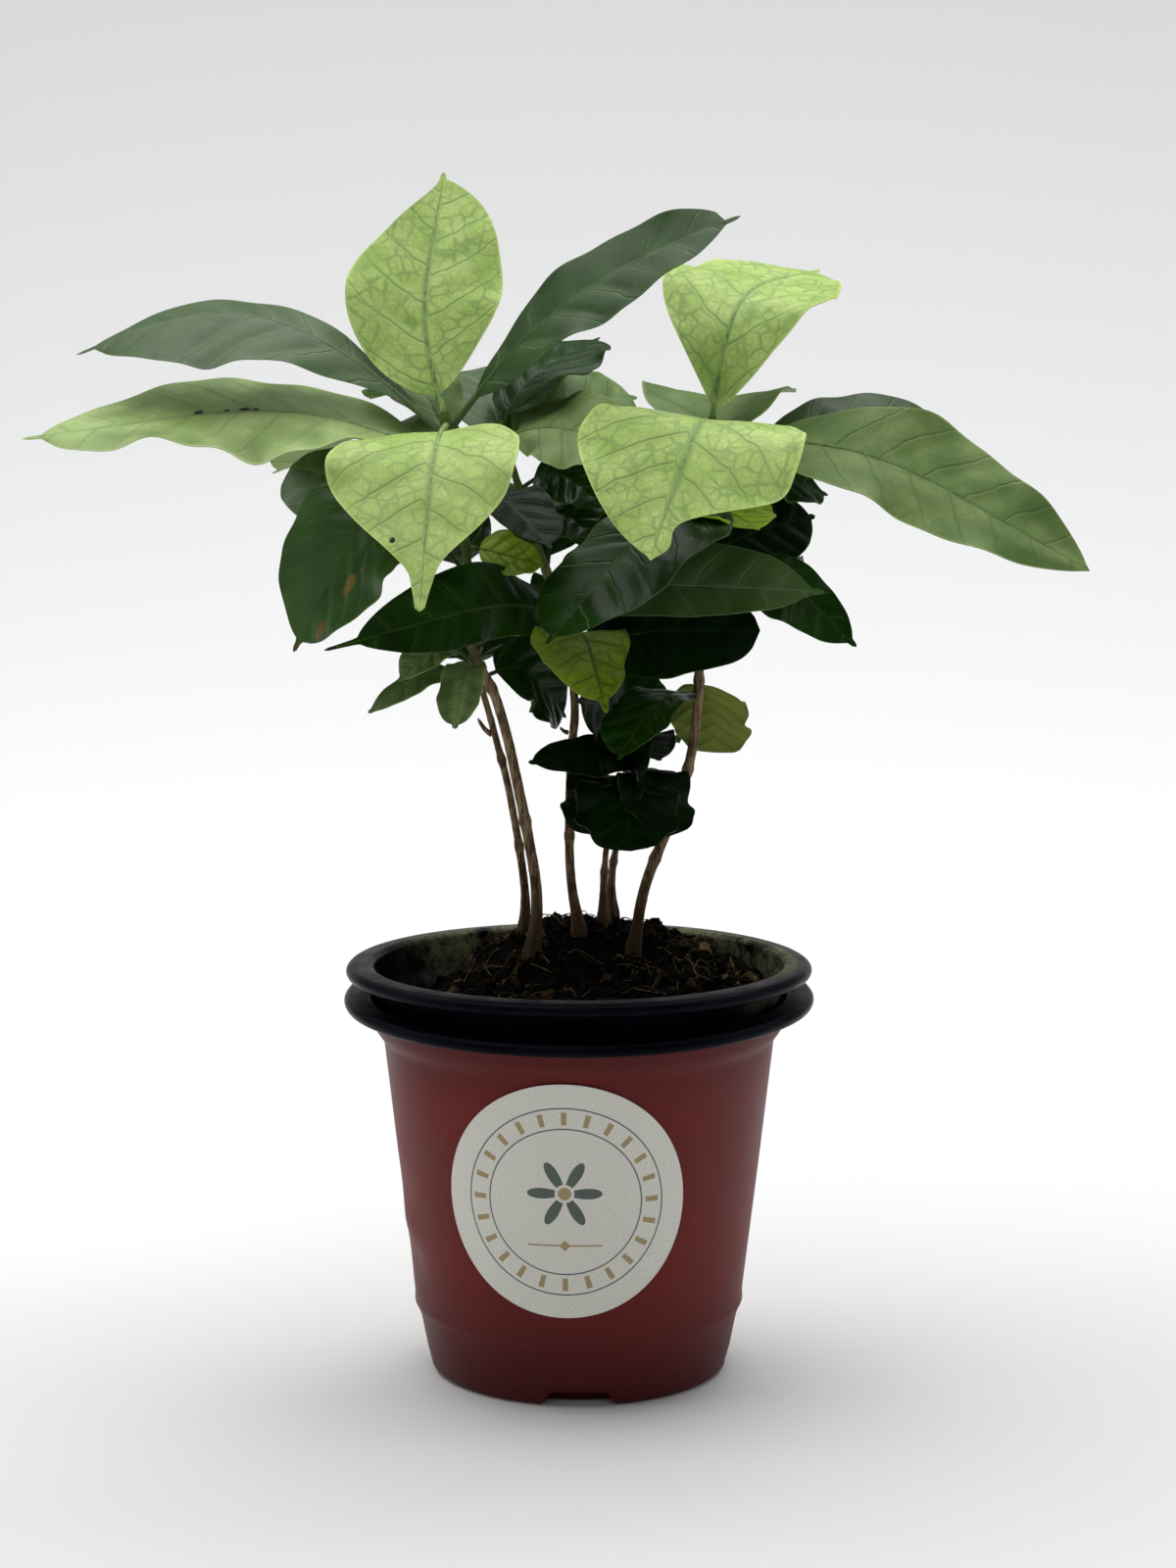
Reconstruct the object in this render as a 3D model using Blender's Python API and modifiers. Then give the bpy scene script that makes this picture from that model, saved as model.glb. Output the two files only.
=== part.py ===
"""A young potted coffee plant: six thin stems in two nested nursery pots.

Blender 4.5. Lengths in the tables are millimetres, the scene is in metres.
+Z is up, -Y is the front with the label, and the origin is the middle of the outer pot's flat underside.
"""

import math

import bmesh
import bpy
from mathutils import Vector

MM = 0.001
GAP = 0.3  # clearance between pieces that touch on the real plant

# Nursery pot: one thin-walled shape, used twice, one pot standing in the other
POT_STEPS = 32
WALL = 0.6
FLOOR = 1.0
FOOT_RADIUS = 35.2
STEP_RADIUS = 37.3
STEP_HEIGHT = 12.2
BULGE_RADIUS = 38.5
BULGE_HEIGHT = 16.5
SHOULDER_RADIUS = 45.7
SHOULDER_HEIGHT = 80.2
COLLAR_RADIUS = 47.8
COLLAR_HEIGHT = 83.0
LIP_RADIUS = 55.1
LIP_INNER_RADIUS = 48.9
LIP_UNDERSIDE = 87.8
LIP_TOP = 91.0
NEST_RISE = 6.4  # the inner pot sits this much higher
NEST_SQUEEZE = 0.5  # and is this much narrower than the outer one
RIM_TILT = 2.3  # degrees: the inner rim stands higher at the front
TILT_FROM = 60.0
NOTCHES = 4
NOTCH_HEIGHT = 3.5
NOTCH_TOP_WIDTH = 10.0
NOTCH_RADII = (30.0, 44.0)
CUTTER_FOOT = -2.2  # the cutter starts below the pot
CUTTER_FOOT_WIDTH = 23.0

# Round paper label on the front
LABEL_DIAMETER = 56.6
LABEL_CENTRE = (-3.1, 51.3)  # along the wall to the right, and up
LABEL_THICKNESS = 0.3
LABEL_RINGS = 3
LABEL_SIDES = 36

# Potting mix: a mound between the stems, with a level pad under each
SOIL_LEVEL = 91.0
SOIL_MOUND = 11.0
SOIL_MOUND_CENTRE = (3.0, 25.0)
SOIL_MOUND_SPREAD = (20.0, 15.0)
SOIL_LEFT_DIP = 4.0
SOIL_LUMP = 0.8
SOIL_RADIUS = 44.0
SOIL_WALL_TOP = 84.0  # below this the mix follows the wall
SOIL_RINGS = 11
PAD_RADIUS = 6.0

# Stems, foot first: a few points on each centre line
STEM_SIDES = 1  # bevel resolution of the round section
STEM_STATION = 7.0
FOOT_UPRIGHT = 1.2  # a foot starts upright, so that it is cut level
FOOT_FLARE = 0.9
FLARE_HEIGHT = 4.0
STEMS = {
    "left": {
        "line": [(-11, 11, 96.6), (-10, 10, 112), (-14, 8, 137), (-19, 7, 158), (-25, 7, 172),
                 (-26, 7, 192), (-31, 8, 226)],
        "radii": (1.35, 0.9),
    },
    "left_rear": {
        "line": [(-13, 22, 99.2), (-13, 22, 111), (-16, 20, 132), (-20, 18, 149), (-25, 16, 168)],
        "radii": (1.0, 0.7),
    },
    "middle": {
        "line": [(0, 17, 101.5), (-2, 18, 116), (-2, 19, 140), (-1, 20, 157), (-5, 21, 178),
                 (-12, 23, 200), (-19, 26, 222)],
        "radii": (1.1, 0.8),
    },
    "centre_front": {
        "line": [(6, 24, 101.9), (6, 23, 112), (7, 20, 124), (10, 18, 138)],
        "radii": (0.8, 0.6),
    },
    "centre_rear": {
        "line": [(8, 35, 101.5), (8, 34, 112), (10, 32, 124), (13, 29, 147)],
        "radii": (0.8, 0.6),
    },
    "right": {
        "line": [(13, 13, 97.8), (16, 12, 114), (24, 12, 135), (28, 12, 156), (28, 11, 186),
                 (29, 9, 208), (31, 8, 225)],
        "radii": (1.3, 0.9),
    },
}

# Leaf blades
LEAF_STATIONS = 8
LEAF_STRIPS = 4
LEAF_THICKNESS = 0.8
LEAF_SLENDER = 90.0  # a long blade is at least this fraction of its length thick
SMALL_LEAF = 32.0  # shorter leaves get a coarser grid
NARROWEST = 0.35  # half width at the very tip
MARGIN_WAVES = 17.0  # radians of waving from node to tip
MARGIN_SHIFT = 1.3  # by which the right margin waves ahead of the left one
ARCH_FORWARD = 0.35  # the midrib arches most before its middle
PETIOLE_LENGTH = 3.5
STALK_LENGTH = 13.0  # petiole of the long-stalked leaves
PETIOLE_HALF_WIDTH = 0.7
TAIL_PART = 0.12  # length of the drip tip
TAIL_HALF_WIDTH = 0.07  # of the blade's width

# Foliage: what part of its stem each mass holds, and its leaves.
# A leaf has the height of its node, where its tip reaches, how far the midrib arches up and bows
# to its right, the roll of the blade and its twist toward the tip in degrees (right side up),
# its width, the angle at which its halves fold up, the depth of its waves and its outline.
FOLIAGE = {
    "foliage_left_low": {
        "stem": "left", "heights": (170, 206),
        "leaves": [
            (203, (-66, 38, 209), 6, 0, 5, 0, 28, 12, 1.0, "leaf"),
            (200, (-66, 0, 171), 12, 0, 20, 0, 48, 10, 1.5, "leaf"),
            (203, (-6, -22, 195), 9, 0, 0, 0, 28, 25, 1.0, "leaf"),
            (195, (-2, 8, 190), 4, 0, 0, 0, 14, 8, 0.5, "leaf"),
            (188, (-58, 52, 182), 10, 0, 0, 0, 36, 12, 1.5, "leaf"),
        ],
    },
    "foliage_left_top": {
        "stem": "left", "heights": (206, 226),
        "leaves": [
            (224, (-32, 46, 279), 3, -3, 0, 0, 38, 8, 1.5, "leaf"),
            (223, (-35, -45, 187), 9, 0, 0, 0, 48, 6, 1.5, "leaf"),
            (220, (-117, 20, 238), 14, 0, 22, 0, 36, 14, 1.5, "leaf"),
            (214, (-127, -5, 221), 6, 0, 26, 0, 38, 6, 2.0, "leaf"),
            (221, (37, 4, 271), 9, 4, -35, 0, 32, 12, 1.5, "leaf"),
            (219, (-50, 48, 225), 8, 0, 5, 0, 20, 12, 0.8, "leaf"),
            (210, (-75, 66, 205), 10, 0, 0, 0, 36, 12, 1.5, "leaf"),
        ],
    },
    "foliage_left_rear": {
        "stem": "left_rear", "heights": (152, 168),
        "leaves": [
            (157, (-31, 8, 159), 1, 0, 20, 0, 9, 12, 0.4, "leaf"),
            (166, (-42, 8, 162), 5, 0, 10, 0, 11, 12, 0.4, "leaf"),
            (160, (-49, 4, 156), 5, 0, 10, 0, 7, 12, 0.3, "leaf"),
            (165, (-42, 28, 161), 4, 0, 10, 0, 12, 12, 0.5, "leaf"),
            (160, (-4, 27, 152), 6, 0, -30, 0, 17, 8, 1.5, "round"),
            (164, (-26, 50, 160), 7, 0, 0, 0, 22, 12, 1.0, "leaf"),
        ],
    },
    "foliage_middle_low": {
        "stem": "middle", "heights": (158, 194),
        "leaves": [
            (176, (-57, -30, 176), 6, -8, 60, 0, 25, 8, 1.5, "leaf"),
            (168, (5, -22, 161), 9, 0, 0, 0, 21, 6, 1.2, "leaf"),
            (182, (56, -14, 187), 2, 3, -60, 0, 24, 6, 1.0, "leaf"),
            (164, (42, 0, 176), 5, 5, -65, 0, 24, 6, 1.0, "leaf"),
            (187, (0, 74, 192), 12, 0, 0, 0, 34, 12, 1.5, "leaf"),
            (172, (12, 68, 168), 8, 0, 0, 0, 30, 12, 1.5, "leaf"),
        ],
    },
    "foliage_middle_top": {
        "stem": "middle", "heights": (194, 222),
        "leaves": [
            (220, (5, 45, 240), 4, 0, 0, 0, 34, 14, 1.5, "leaf"),
            (218, (16, 6, 215), 4, 0, -38, 0, 25, 8, 1.5, "leaf"),
            (216, (14, 52, 225), 6, 0, 0, 0, 20, 12, 1.0, "leaf"),
            (206, (6, 14, 203), 5, 0, -30, 0, 20, 10, 1.0, "leaf"),
            (198, (6, 10, 194), 4, 0, -20, 0, 18, 10, 1.0, "leaf"),
            (214, (-34, 84, 228), 8, 0, 0, 0, 34, 12, 1.5, "leaf"),
        ],
    },
    "foliage_centre_front": {
        "stem": "centre_front", "heights": (122, 138),
        "leaves": [
            (134, (-2, 0, 131), 4, 0, 0, 0, 19, 6, 1.5, "round"),
            (136, (20, 1, 132), 6, 0, 0, 0, 17, 6, 1.5, "round"),
            (127, (12, -10, 122), 6, 0, 0, 0, 24, 6, 1.5, "round"),
        ],
    },
    "foliage_centre_rear": {
        "stem": "centre_rear", "heights": (132, 147),
        "leaves": [
            (143, (-9, -6, 146), 4, -4, 0, 0, 11, 10, 0.8, "leaf"),
            (145, (1, 20, 157), 2, 0, 0, 0, 16, 10, 0.8, "leaf"),
            (146, (10, 40, 164), 2, 0, 0, 0, 18, 10, 0.8, "leaf"),
            (142, (19, 8, 144), 4, 0, 0, 0, 15, 10, 0.6, "leaf"),
            (138, (18, 56, 139), 4, 0, 0, 0, 20, 8, 1.0, "round"),
        ],
    },
    "foliage_right_low": {
        "stem": "right", "heights": (154, 206),
        "leaves": [
            (158, (11, -6, 149), 5, 0, 0, 0, 15, 10, 0.6, "leaf"),
            (159, (42, 25, 149), 3, 0, -45, 0, 21, 6, 1.0, "round"),
            (184, (64, -5, 173), 9, 0, -38, 0, 26, 6, 1.0, "leaf"),
            (190, (56, 30, 199), 2, 0, -55, 0, 22, 8, 1.0, "leaf"),
            (176, (48, 68, 182), 6, 0, 0, 0, 34, 12, 1.5, "leaf"),
            (201, (-7, -16, 174), 6, 0, 20, 0, 32, 6, 1.0, "leaf"),
            (205, (-5, -30, 178), 6, -3, 10, 0, 26, 6, 1.0, "leaf"),
        ],
    },
    "foliage_right_top": {
        "stem": "right", "heights": (206, 225),
        "leaves": [
            (223, (61, 60, 256), 17, 0, -8, 0, 43, 4, 1.5, "leaf"),
            (222, (16, -42, 198), 13, 0, -6, 0, 60, 4, 2.0, "leaf"),
            (217, (86, 44, 218), 11, -4, -10, 0, 30, 8, 1.5, "stalked"),
            (218, (117, -8, 191), 9, 0, -42, 0, 40, 4, 2.0, "stalked"),
            (209, (59, 30, 204), 4, 0, -25, 0, 18, 8, 0.8, "leaf"),
            (208, (41, -12, 201), 3, 0, 0, 0, 22, 6, 0.8, "leaf"),
            (211, (38, 82, 220), 10, 0, 0, 0, 36, 10, 1.5, "stalked"),
        ],
    },
}

RED_PLASTIC = ((0.17, 0.035, 0.025), 0.55)
BLACK_PLASTIC = ((0.012, 0.014, 0.018), 0.5)
PAPER = ((0.72, 0.72, 0.68), 0.8)
POTTING_MIX = ((0.035, 0.022, 0.014), 0.95)
YOUNG_BARK = ((0.13, 0.09, 0.055), 0.8)
DARK_LEAF = ((0.03, 0.085, 0.025), 0.4)
LIGHT_LEAF = ((0.27, 0.45, 0.12), 0.4)


def clear_scene():
    for obj in list(bpy.data.objects):
        bpy.data.objects.remove(obj, do_unlink=True)


def make_collection(name):
    collection = bpy.data.collections.new(name)
    bpy.context.scene.collection.children.link(collection)
    return collection


def make_material(name, colour, roughness):
    material = bpy.data.materials.new(name)
    material.use_nodes = True
    shader = material.node_tree.nodes["Principled BSDF"]
    shader.inputs["Base Color"].default_value = (*colour, 1)
    shader.inputs["Roughness"].default_value = roughness
    return material


def add_object(name, data, collection, material=None):
    obj = bpy.data.objects.new(name, data)
    collection.objects.link(obj)
    if material is not None:
        data.materials.clear()
        data.materials.append(material)
    return obj


def evaluated_mesh(obj):
    """The object's mesh with its modifiers applied."""
    depsgraph = bpy.context.evaluated_depsgraph_get()
    depsgraph.update()
    return bpy.data.meshes.new_from_object(obj.evaluated_get(depsgraph), depsgraph=depsgraph)


def apply_modifiers(obj):
    mesh = evaluated_mesh(obj)
    obj.modifiers.clear()
    obj.data = mesh


def shade(obj, angle=35):
    obj.data.shade_smooth()
    obj.data.set_sharp_from_angle(angle=math.radians(angle))


def smooth_step(value, start, end):
    part = min(max((value - start) / (end - start), 0.0), 1.0)
    return part * part * (3 - 2 * part)


# Pots


def wall_radius(height):
    """Outside radius of the plain wall, which widens evenly from the bulge to the shoulder."""
    part = (height - BULGE_HEIGHT) / (SHOULDER_HEIGHT - BULGE_HEIGHT)
    return BULGE_RADIUS + part * (SHOULDER_RADIUS - BULGE_RADIUS)


def pot_profile(squeeze):
    """Half section of a pot, from the middle of its floor over the lip to the middle of its underside."""
    outer = [
        (LIP_RADIUS - 1.2, LIP_TOP - 0.3),
        (LIP_RADIUS, LIP_TOP - 1.6),
        (LIP_RADIUS - 0.6, LIP_UNDERSIDE),
        (LIP_INNER_RADIUS, LIP_UNDERSIDE - 0.4),
        (COLLAR_RADIUS, COLLAR_HEIGHT),
        (SHOULDER_RADIUS, SHOULDER_HEIGHT),
        (BULGE_RADIUS, BULGE_HEIGHT),
        (STEP_RADIUS, STEP_HEIGHT),
        (FOOT_RADIUS, 1.2),
        (FOOT_RADIUS - 1.4, 0.0),
    ]
    inner = [
        (FOOT_RADIUS - 1.4 - WALL, FLOOR),
        (FOOT_RADIUS - WALL, FLOOR + 1.0),
        (STEP_RADIUS - WALL, STEP_HEIGHT),
        (BULGE_RADIUS - WALL, BULGE_HEIGHT),
        (SHOULDER_RADIUS - WALL, SHOULDER_HEIGHT),
        (COLLAR_RADIUS - WALL, COLLAR_HEIGHT),
        (LIP_INNER_RADIUS - WALL, LIP_UNDERSIDE),
        (LIP_INNER_RADIUS - WALL, LIP_TOP - 0.8),
        (LIP_INNER_RADIUS + 0.6, LIP_TOP),
    ]
    section = [(radius - squeeze, height) for radius, height in inner + outer]
    return [(0.0, FLOOR)] + section + [(0.0, 0.0)]


def turned(name, section, collection, material, steps=POT_STEPS):
    """A closed body turned about Z from a half section."""
    mesh = bpy.data.meshes.new(name)
    points = [(radius * MM, 0.0, height * MM) for radius, height in section]
    mesh.from_pydata(points, [(i, i + 1) for i in range(len(points) - 1)], [])
    obj = add_object(name, mesh, collection, material)
    screw = obj.modifiers.new("turn", "SCREW")
    screw.steps = steps
    screw.render_steps = steps
    screw.use_merge_vertices = True
    screw.merge_threshold = 1e-6
    apply_modifiers(obj)
    return obj


def notch_cutters(name, collection):
    """Wedges that cut the drain notches through the foot of a pot."""
    near, far = NOTCH_RADII
    cutters = []
    for index in range(NOTCHES):
        body = bmesh.new()
        bmesh.ops.create_cube(body, size=1.0)
        for vertex in body.verts:
            width = NOTCH_TOP_WIDTH if vertex.co.z > 0 else CUTTER_FOOT_WIDTH
            across = vertex.co.x * width
            out = near if vertex.co.y > 0 else far
            height = NOTCH_HEIGHT if vertex.co.z > 0 else CUTTER_FOOT
            vertex.co = Vector((across, -out, height)) * MM
        mesh = bpy.data.meshes.new(f"{name}_notch_{index}")
        body.to_mesh(mesh)
        body.free()
        cutter = add_object(mesh.name, mesh, collection)
        cutter.rotation_euler.z = index * math.tau / NOTCHES
        cutter.hide_render = True
        cutter.display_type = "WIRE"
        cutters.append(cutter)
    return cutters


def make_pot(name, squeeze, collection, cutter_collection, material):
    pot = turned(name, pot_profile(squeeze), collection, material)
    cutters = notch_cutters(name, cutter_collection)
    for cutter in cutters:
        cut = pot.modifiers.new(cutter.name, "BOOLEAN")
        cut.operation = "DIFFERENCE"
        cut.object = cutter
    apply_modifiers(pot)
    for cutter in cutters:
        bpy.data.objects.remove(cutter, do_unlink=True)
    shade(pot)
    return pot


def tilt_rim(obj):
    """Leans the upper part of the inner pot, so that its rim stands higher at the front."""
    for vertex in obj.data.vertices:
        lean = math.tan(math.radians(RIM_TILT)) * smooth_step(vertex.co.z / MM, TILT_FROM, TILT_FROM + 25)
        vertex.co.z -= vertex.co.y * lean


def make_pots(collection, cutter_collection):
    red = make_material("red_plastic", *RED_PLASTIC)
    black = make_material("black_plastic", *BLACK_PLASTIC)
    make_pot("outer_pot", 0.0, collection, cutter_collection, red)
    inner = make_pot("inner_pot", NEST_SQUEEZE, collection, cutter_collection, black)
    tilt_rim(inner)
    inner.location.z = NEST_RISE * MM


# Label


def make_label(collection):
    """A paper disc that follows the wall."""
    across, up = LABEL_CENTRE
    half = LABEL_DIAMETER / 2
    body = bmesh.new()
    bmesh.ops.create_circle(body, cap_ends=True, cap_tris=True, radius=half, segments=LABEL_SIDES)
    centre = [v for v in body.verts if v.co.length < 1e-6]
    if centre:
        spokes = list(centre[0].link_edges)
        bmesh.ops.subdivide_edges(body, edges=spokes, cuts=LABEL_RINGS - 1, use_grid_fill=True)
    for vertex in body.verts:
        height = up + vertex.co.y
        radius = wall_radius(height) + GAP + LABEL_THICKNESS
        turn = (across + vertex.co.x) / wall_radius(up) - math.pi / 2
        vertex.co = Vector((radius * math.cos(turn), radius * math.sin(turn), height)) * MM
    mesh = bpy.data.meshes.new("label")
    body.to_mesh(mesh)
    body.free()
    label = add_object("label", mesh, collection, make_material("paper", *PAPER))
    sheet = label.modifiers.new("paper", "SOLIDIFY")
    sheet.thickness = LABEL_THICKNESS * MM
    sheet.offset = -1.0
    apply_modifiers(label)
    return label


# Potting mix


def soil_height(x, y):
    """Top of the mix, with a level pad under each stem."""
    for stem in STEMS.values():
        foot = stem["line"][0]
        if math.hypot(x - foot[0], y - foot[1]) < PAD_RADIUS:
            return foot[2] - GAP
    across = (x - SOIL_MOUND_CENTRE[0]) / SOIL_MOUND_SPREAD[0]
    along = (y - SOIL_MOUND_CENTRE[1]) / SOIL_MOUND_SPREAD[1]
    mound = SOIL_MOUND * math.exp(-(across * across + along * along) / 2)
    dip = SOIL_LEFT_DIP * smooth_step(-x, 15, 40)
    lumps = SOIL_LUMP * (math.sin(x * 0.55 + 1.0) * math.cos(y * 0.48) + 0.6 * math.sin(x * 0.9 - y * 1.1))
    return SOIL_LEVEL + mound - dip + lumps


def soil_section():
    """Half section of the mix: rings of the top, then the wall of the inner pot, then its floor."""
    clear = WALL + NEST_SQUEEZE + GAP
    top = [(SOIL_RADIUS * ring / SOIL_RINGS, SOIL_LEVEL) for ring in range(SOIL_RINGS + 1)]
    side = [
        (wall_radius(SOIL_WALL_TOP - NEST_RISE) - clear - 0.6, SOIL_WALL_TOP),
        (BULGE_RADIUS - clear, BULGE_HEIGHT + NEST_RISE),
        (STEP_RADIUS - clear, STEP_HEIGHT + NEST_RISE),
        (FOOT_RADIUS - 1.4 - clear, FLOOR + 1.5 + NEST_RISE),
    ]
    return top + side + [(0.0, FLOOR + 1.5 + NEST_RISE)]


def make_soil(collection):
    soil = turned("soil", soil_section(), collection, make_material("potting_mix", *POTTING_MIX))
    for vertex in soil.data.vertices:
        if vertex.co.z > (SOIL_LEVEL - 0.01) * MM:
            vertex.co.z = soil_height(vertex.co.x / MM, vertex.co.y / MM) * MM
    shade(soil, 60)
    return soil


# Stems


def spline_point(points, position):
    """A Catmull-Rom curve through the points; position counts points from the first."""
    last = len(points) - 1
    index = min(int(position), last - 1)
    part = position - index
    p1, p2 = points[index], points[index + 1]
    p0 = points[index - 1] if index > 0 else p1 * 2 - p2
    p3 = points[index + 2] if index + 2 <= last else p2 * 2 - p1
    return 0.5 * (
        2 * p1
        + (p2 - p0) * part
        + (2 * p0 - 5 * p1 + 4 * p2 - p3) * part**2
        + (3 * p1 - p0 - 3 * p2 + p3) * part**3
    )


def stem_axis(stem, height):
    """The point at this height on a stem's centre line."""
    points = [Vector(point) for point in STEMS[stem]["line"]]
    low, high = 0.0, float(len(points) - 1)
    for _ in range(30):
        middle = (low + high) / 2
        if spline_point(points, middle).z < height:
            low = middle
        else:
            high = middle
    return spline_point(points, high)


def stem_radius(stem, height):
    line = STEMS[stem]["line"]
    foot_radius, top_radius = STEMS[stem]["radii"]
    above = height - line[0][2]
    part = above / (line[-1][2] - line[0][2])
    flare = FOOT_FLARE * math.exp(-above / FLARE_HEIGHT)
    return foot_radius + (top_radius - foot_radius) * part + flare


def limb_mesh(name, stem, low, high):
    """A tapering limb between two heights on a stem, as a closed mesh."""
    count = max(2, math.ceil((high - low) / STEM_STATION))
    heights = [low + (high - low) * i / count for i in range(count + 1)]
    foot = STEMS[stem]["line"][0]
    points = [stem_axis(stem, height) for height in heights]
    radii = [stem_radius(stem, height) for height in heights]
    if low <= foot[2]:
        upright = foot[2] + FOOT_UPRIGHT
        points.insert(1, Vector((foot[0], foot[1], upright)))
        radii.insert(1, stem_radius(stem, upright))
    curve = bpy.data.curves.new(name, "CURVE")
    curve.dimensions = "3D"
    curve.bevel_depth = MM
    curve.bevel_resolution = STEM_SIDES
    curve.use_fill_caps = True
    spline = curve.splines.new("POLY")
    spline.points.add(len(points) - 1)
    for knot, point, radius in zip(spline.points, points, radii):
        knot.co = (*(point * MM), 1)
        knot.radius = radius
    holder = bpy.data.objects.new(name, curve)
    bpy.context.scene.collection.objects.link(holder)
    mesh = evaluated_mesh(holder)
    bpy.data.objects.remove(holder, do_unlink=True)
    bpy.data.curves.remove(curve)
    body = bmesh.new()
    body.from_mesh(mesh)
    bmesh.ops.remove_doubles(body, verts=body.verts, dist=1e-7)
    bmesh.ops.recalc_face_normals(body, faces=body.faces)
    body.to_mesh(mesh)
    body.free()
    mesh.name = name
    return mesh


def make_stems(collection, material):
    """One tapering limb for each stem, from its level foot to where its foliage begins."""
    for stem, shape in STEMS.items():
        tops = [mass["heights"][0] for mass in FOLIAGE.values() if mass["stem"] == stem]
        name = f"stem_{stem}"
        foot = shape["line"][0]
        limb = add_object(name, limb_mesh(name, stem, foot[2], min(tops)), collection, material)
        shade(limb, 50)


# Foliage


def blade_half_width(outline, part, width, length):
    """Half the width of a leaf at this part of its length, petiole included."""
    petiole = (STALK_LENGTH if outline == "stalked" else PETIOLE_LENGTH) / length
    if part <= petiole:
        return PETIOLE_HALF_WIDTH
    along = (part - petiole) / (1 - petiole)
    if outline == "round":
        shape = math.sqrt(max(1 - (2 * along - 1) ** 2, 0.0))
        return max(shape * width / 2, PETIOLE_HALF_WIDTH)
    body_part = min(along / (1 - TAIL_PART / 2), 1.0)
    shape = math.sin(math.pi * body_part**0.85) ** 0.75 if body_part < 1 else 0.0
    tail = TAIL_HALF_WIDTH * (1.15 - along) / 0.3 if along > 0.7 else 0.0
    return max(shape * width / 2, tail * width, NARROWEST)


def midrib_point(root, tip, arch, bow, part):
    """The midrib: a chord from the node to the tip, arched upward and bowed sideways."""
    chord = tip - root
    line = chord.normalized()
    upward = (Vector((0, 0, 1)) - line * line.z).normalized()
    right = line.cross(upward)
    swell = math.sin(math.pi * part) * (1 + ARCH_FORWARD * math.cos(math.pi * part))
    return root + chord * part + (upward * arch + right * bow) * swell


def leaf_point(root, leaf, part, side):
    """A point on the blade: part runs from node to tip, side from -1 to 1 across it."""
    _, tip, arch, bow, roll, twist, width, fold, wave, outline = leaf
    tip = Vector(tip)
    centre = midrib_point(root, tip, arch, bow, part)
    ahead = midrib_point(root, tip, arch, bow, min(part + 0.02, 1.0))
    behind = midrib_point(root, tip, arch, bow, max(part - 0.02, 0.0))
    tangent = (ahead - behind).normalized()
    line = (tip - root).normalized()
    upward = (Vector((0, 0, 1)) - line * line.z).normalized()
    right = line.cross(upward)
    right = (right - tangent * right.dot(tangent)).normalized()
    normal = right.cross(tangent)
    turn = math.radians(roll + twist * (part - 0.5))
    across = right * math.cos(turn) + normal * math.sin(turn)
    above = normal * math.cos(turn) - right * math.sin(turn)
    half = blade_half_width(outline, part, width, (tip - root).length)
    lift = math.radians(fold)
    reach = half * abs(side)
    shift = MARGIN_SHIFT if side > 0 else 0.0
    ripple = wave * math.sin(part * MARGIN_WAVES + shift) * side * side * min(half / (width / 2), 1)
    return (
        centre
        + across * math.copysign(reach * math.cos(lift), side)
        + above * (reach * math.sin(lift) + ripple)
    )


def leaf_object(name, root, leaf, collection):
    """A blade bent from a flat grid, with its thickness."""
    outline = leaf[-1]
    length = (Vector(leaf[1]) - root).length
    small = length < SMALL_LEAF
    stations = LEAF_STATIONS - 2 if small or outline == "round" else LEAF_STATIONS
    strips = LEAF_STRIPS - 2 if small and outline == "leaf" else LEAF_STRIPS
    body = bmesh.new()
    bmesh.ops.create_grid(body, x_segments=stations, y_segments=strips, size=1.0)
    for vertex in body.verts:
        part = (vertex.co.x + 1) / 2
        vertex.co = leaf_point(root, leaf, part, vertex.co.y) * MM
    mesh = bpy.data.meshes.new(name)
    body.to_mesh(mesh)
    body.free()
    blade = add_object(name, mesh, collection)
    thickness = blade.modifiers.new("thickness", "SOLIDIFY")
    thickness.thickness = max(LEAF_THICKNESS, length / LEAF_SLENDER) * MM
    thickness.offset = 0.0
    return blade


def make_foliage(name, mass, collection, material):
    """One mass: a stretch of stem with all its leaves joined on."""
    stem = mass["stem"]
    low, high = mass["heights"]
    body = add_object(name, limb_mesh(name, stem, low + GAP, high), collection, material)
    leaves = make_collection(f"{name}_leaves")
    for index, leaf in enumerate(mass["leaves"]):
        leaf_object(f"{name}_{index}", stem_axis(stem, leaf[0]), leaf, leaves)
    union = body.modifiers.new("leaves", "BOOLEAN")
    union.operation = "UNION"
    union.operand_type = "COLLECTION"
    union.collection = leaves
    union.solver = "EXACT"
    apply_modifiers(body)
    for blade in list(leaves.objects):
        bpy.data.objects.remove(blade, do_unlink=True)
    bpy.data.collections.remove(leaves)
    body.data.materials.clear()
    body.data.materials.append(material)
    shade(body, 40)
    return body


def main():
    clear_scene()
    plant = make_collection("potted_coffee_plant")
    cutters = make_collection("cutters")
    make_pots(plant, cutters)
    make_label(plant)
    make_soil(plant)
    make_stems(plant, make_material("young_bark", *YOUNG_BARK))
    dark = make_material("dark_leaf", *DARK_LEAF)
    light = make_material("light_leaf", *LIGHT_LEAF)
    for name, mass in FOLIAGE.items():
        make_foliage(name, mass, plant, light if name.endswith("top") else dark)


main()
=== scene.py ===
"""Looks of a young potted coffee plant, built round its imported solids.

Blender 4.5. Lengths in the tables are millimetres, the scene is in metres.
+Z is up, -Y is the front with the label, and the origin is the middle of the outer pot's flat
underside.
"""

import math
from collections import namedtuple

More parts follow.
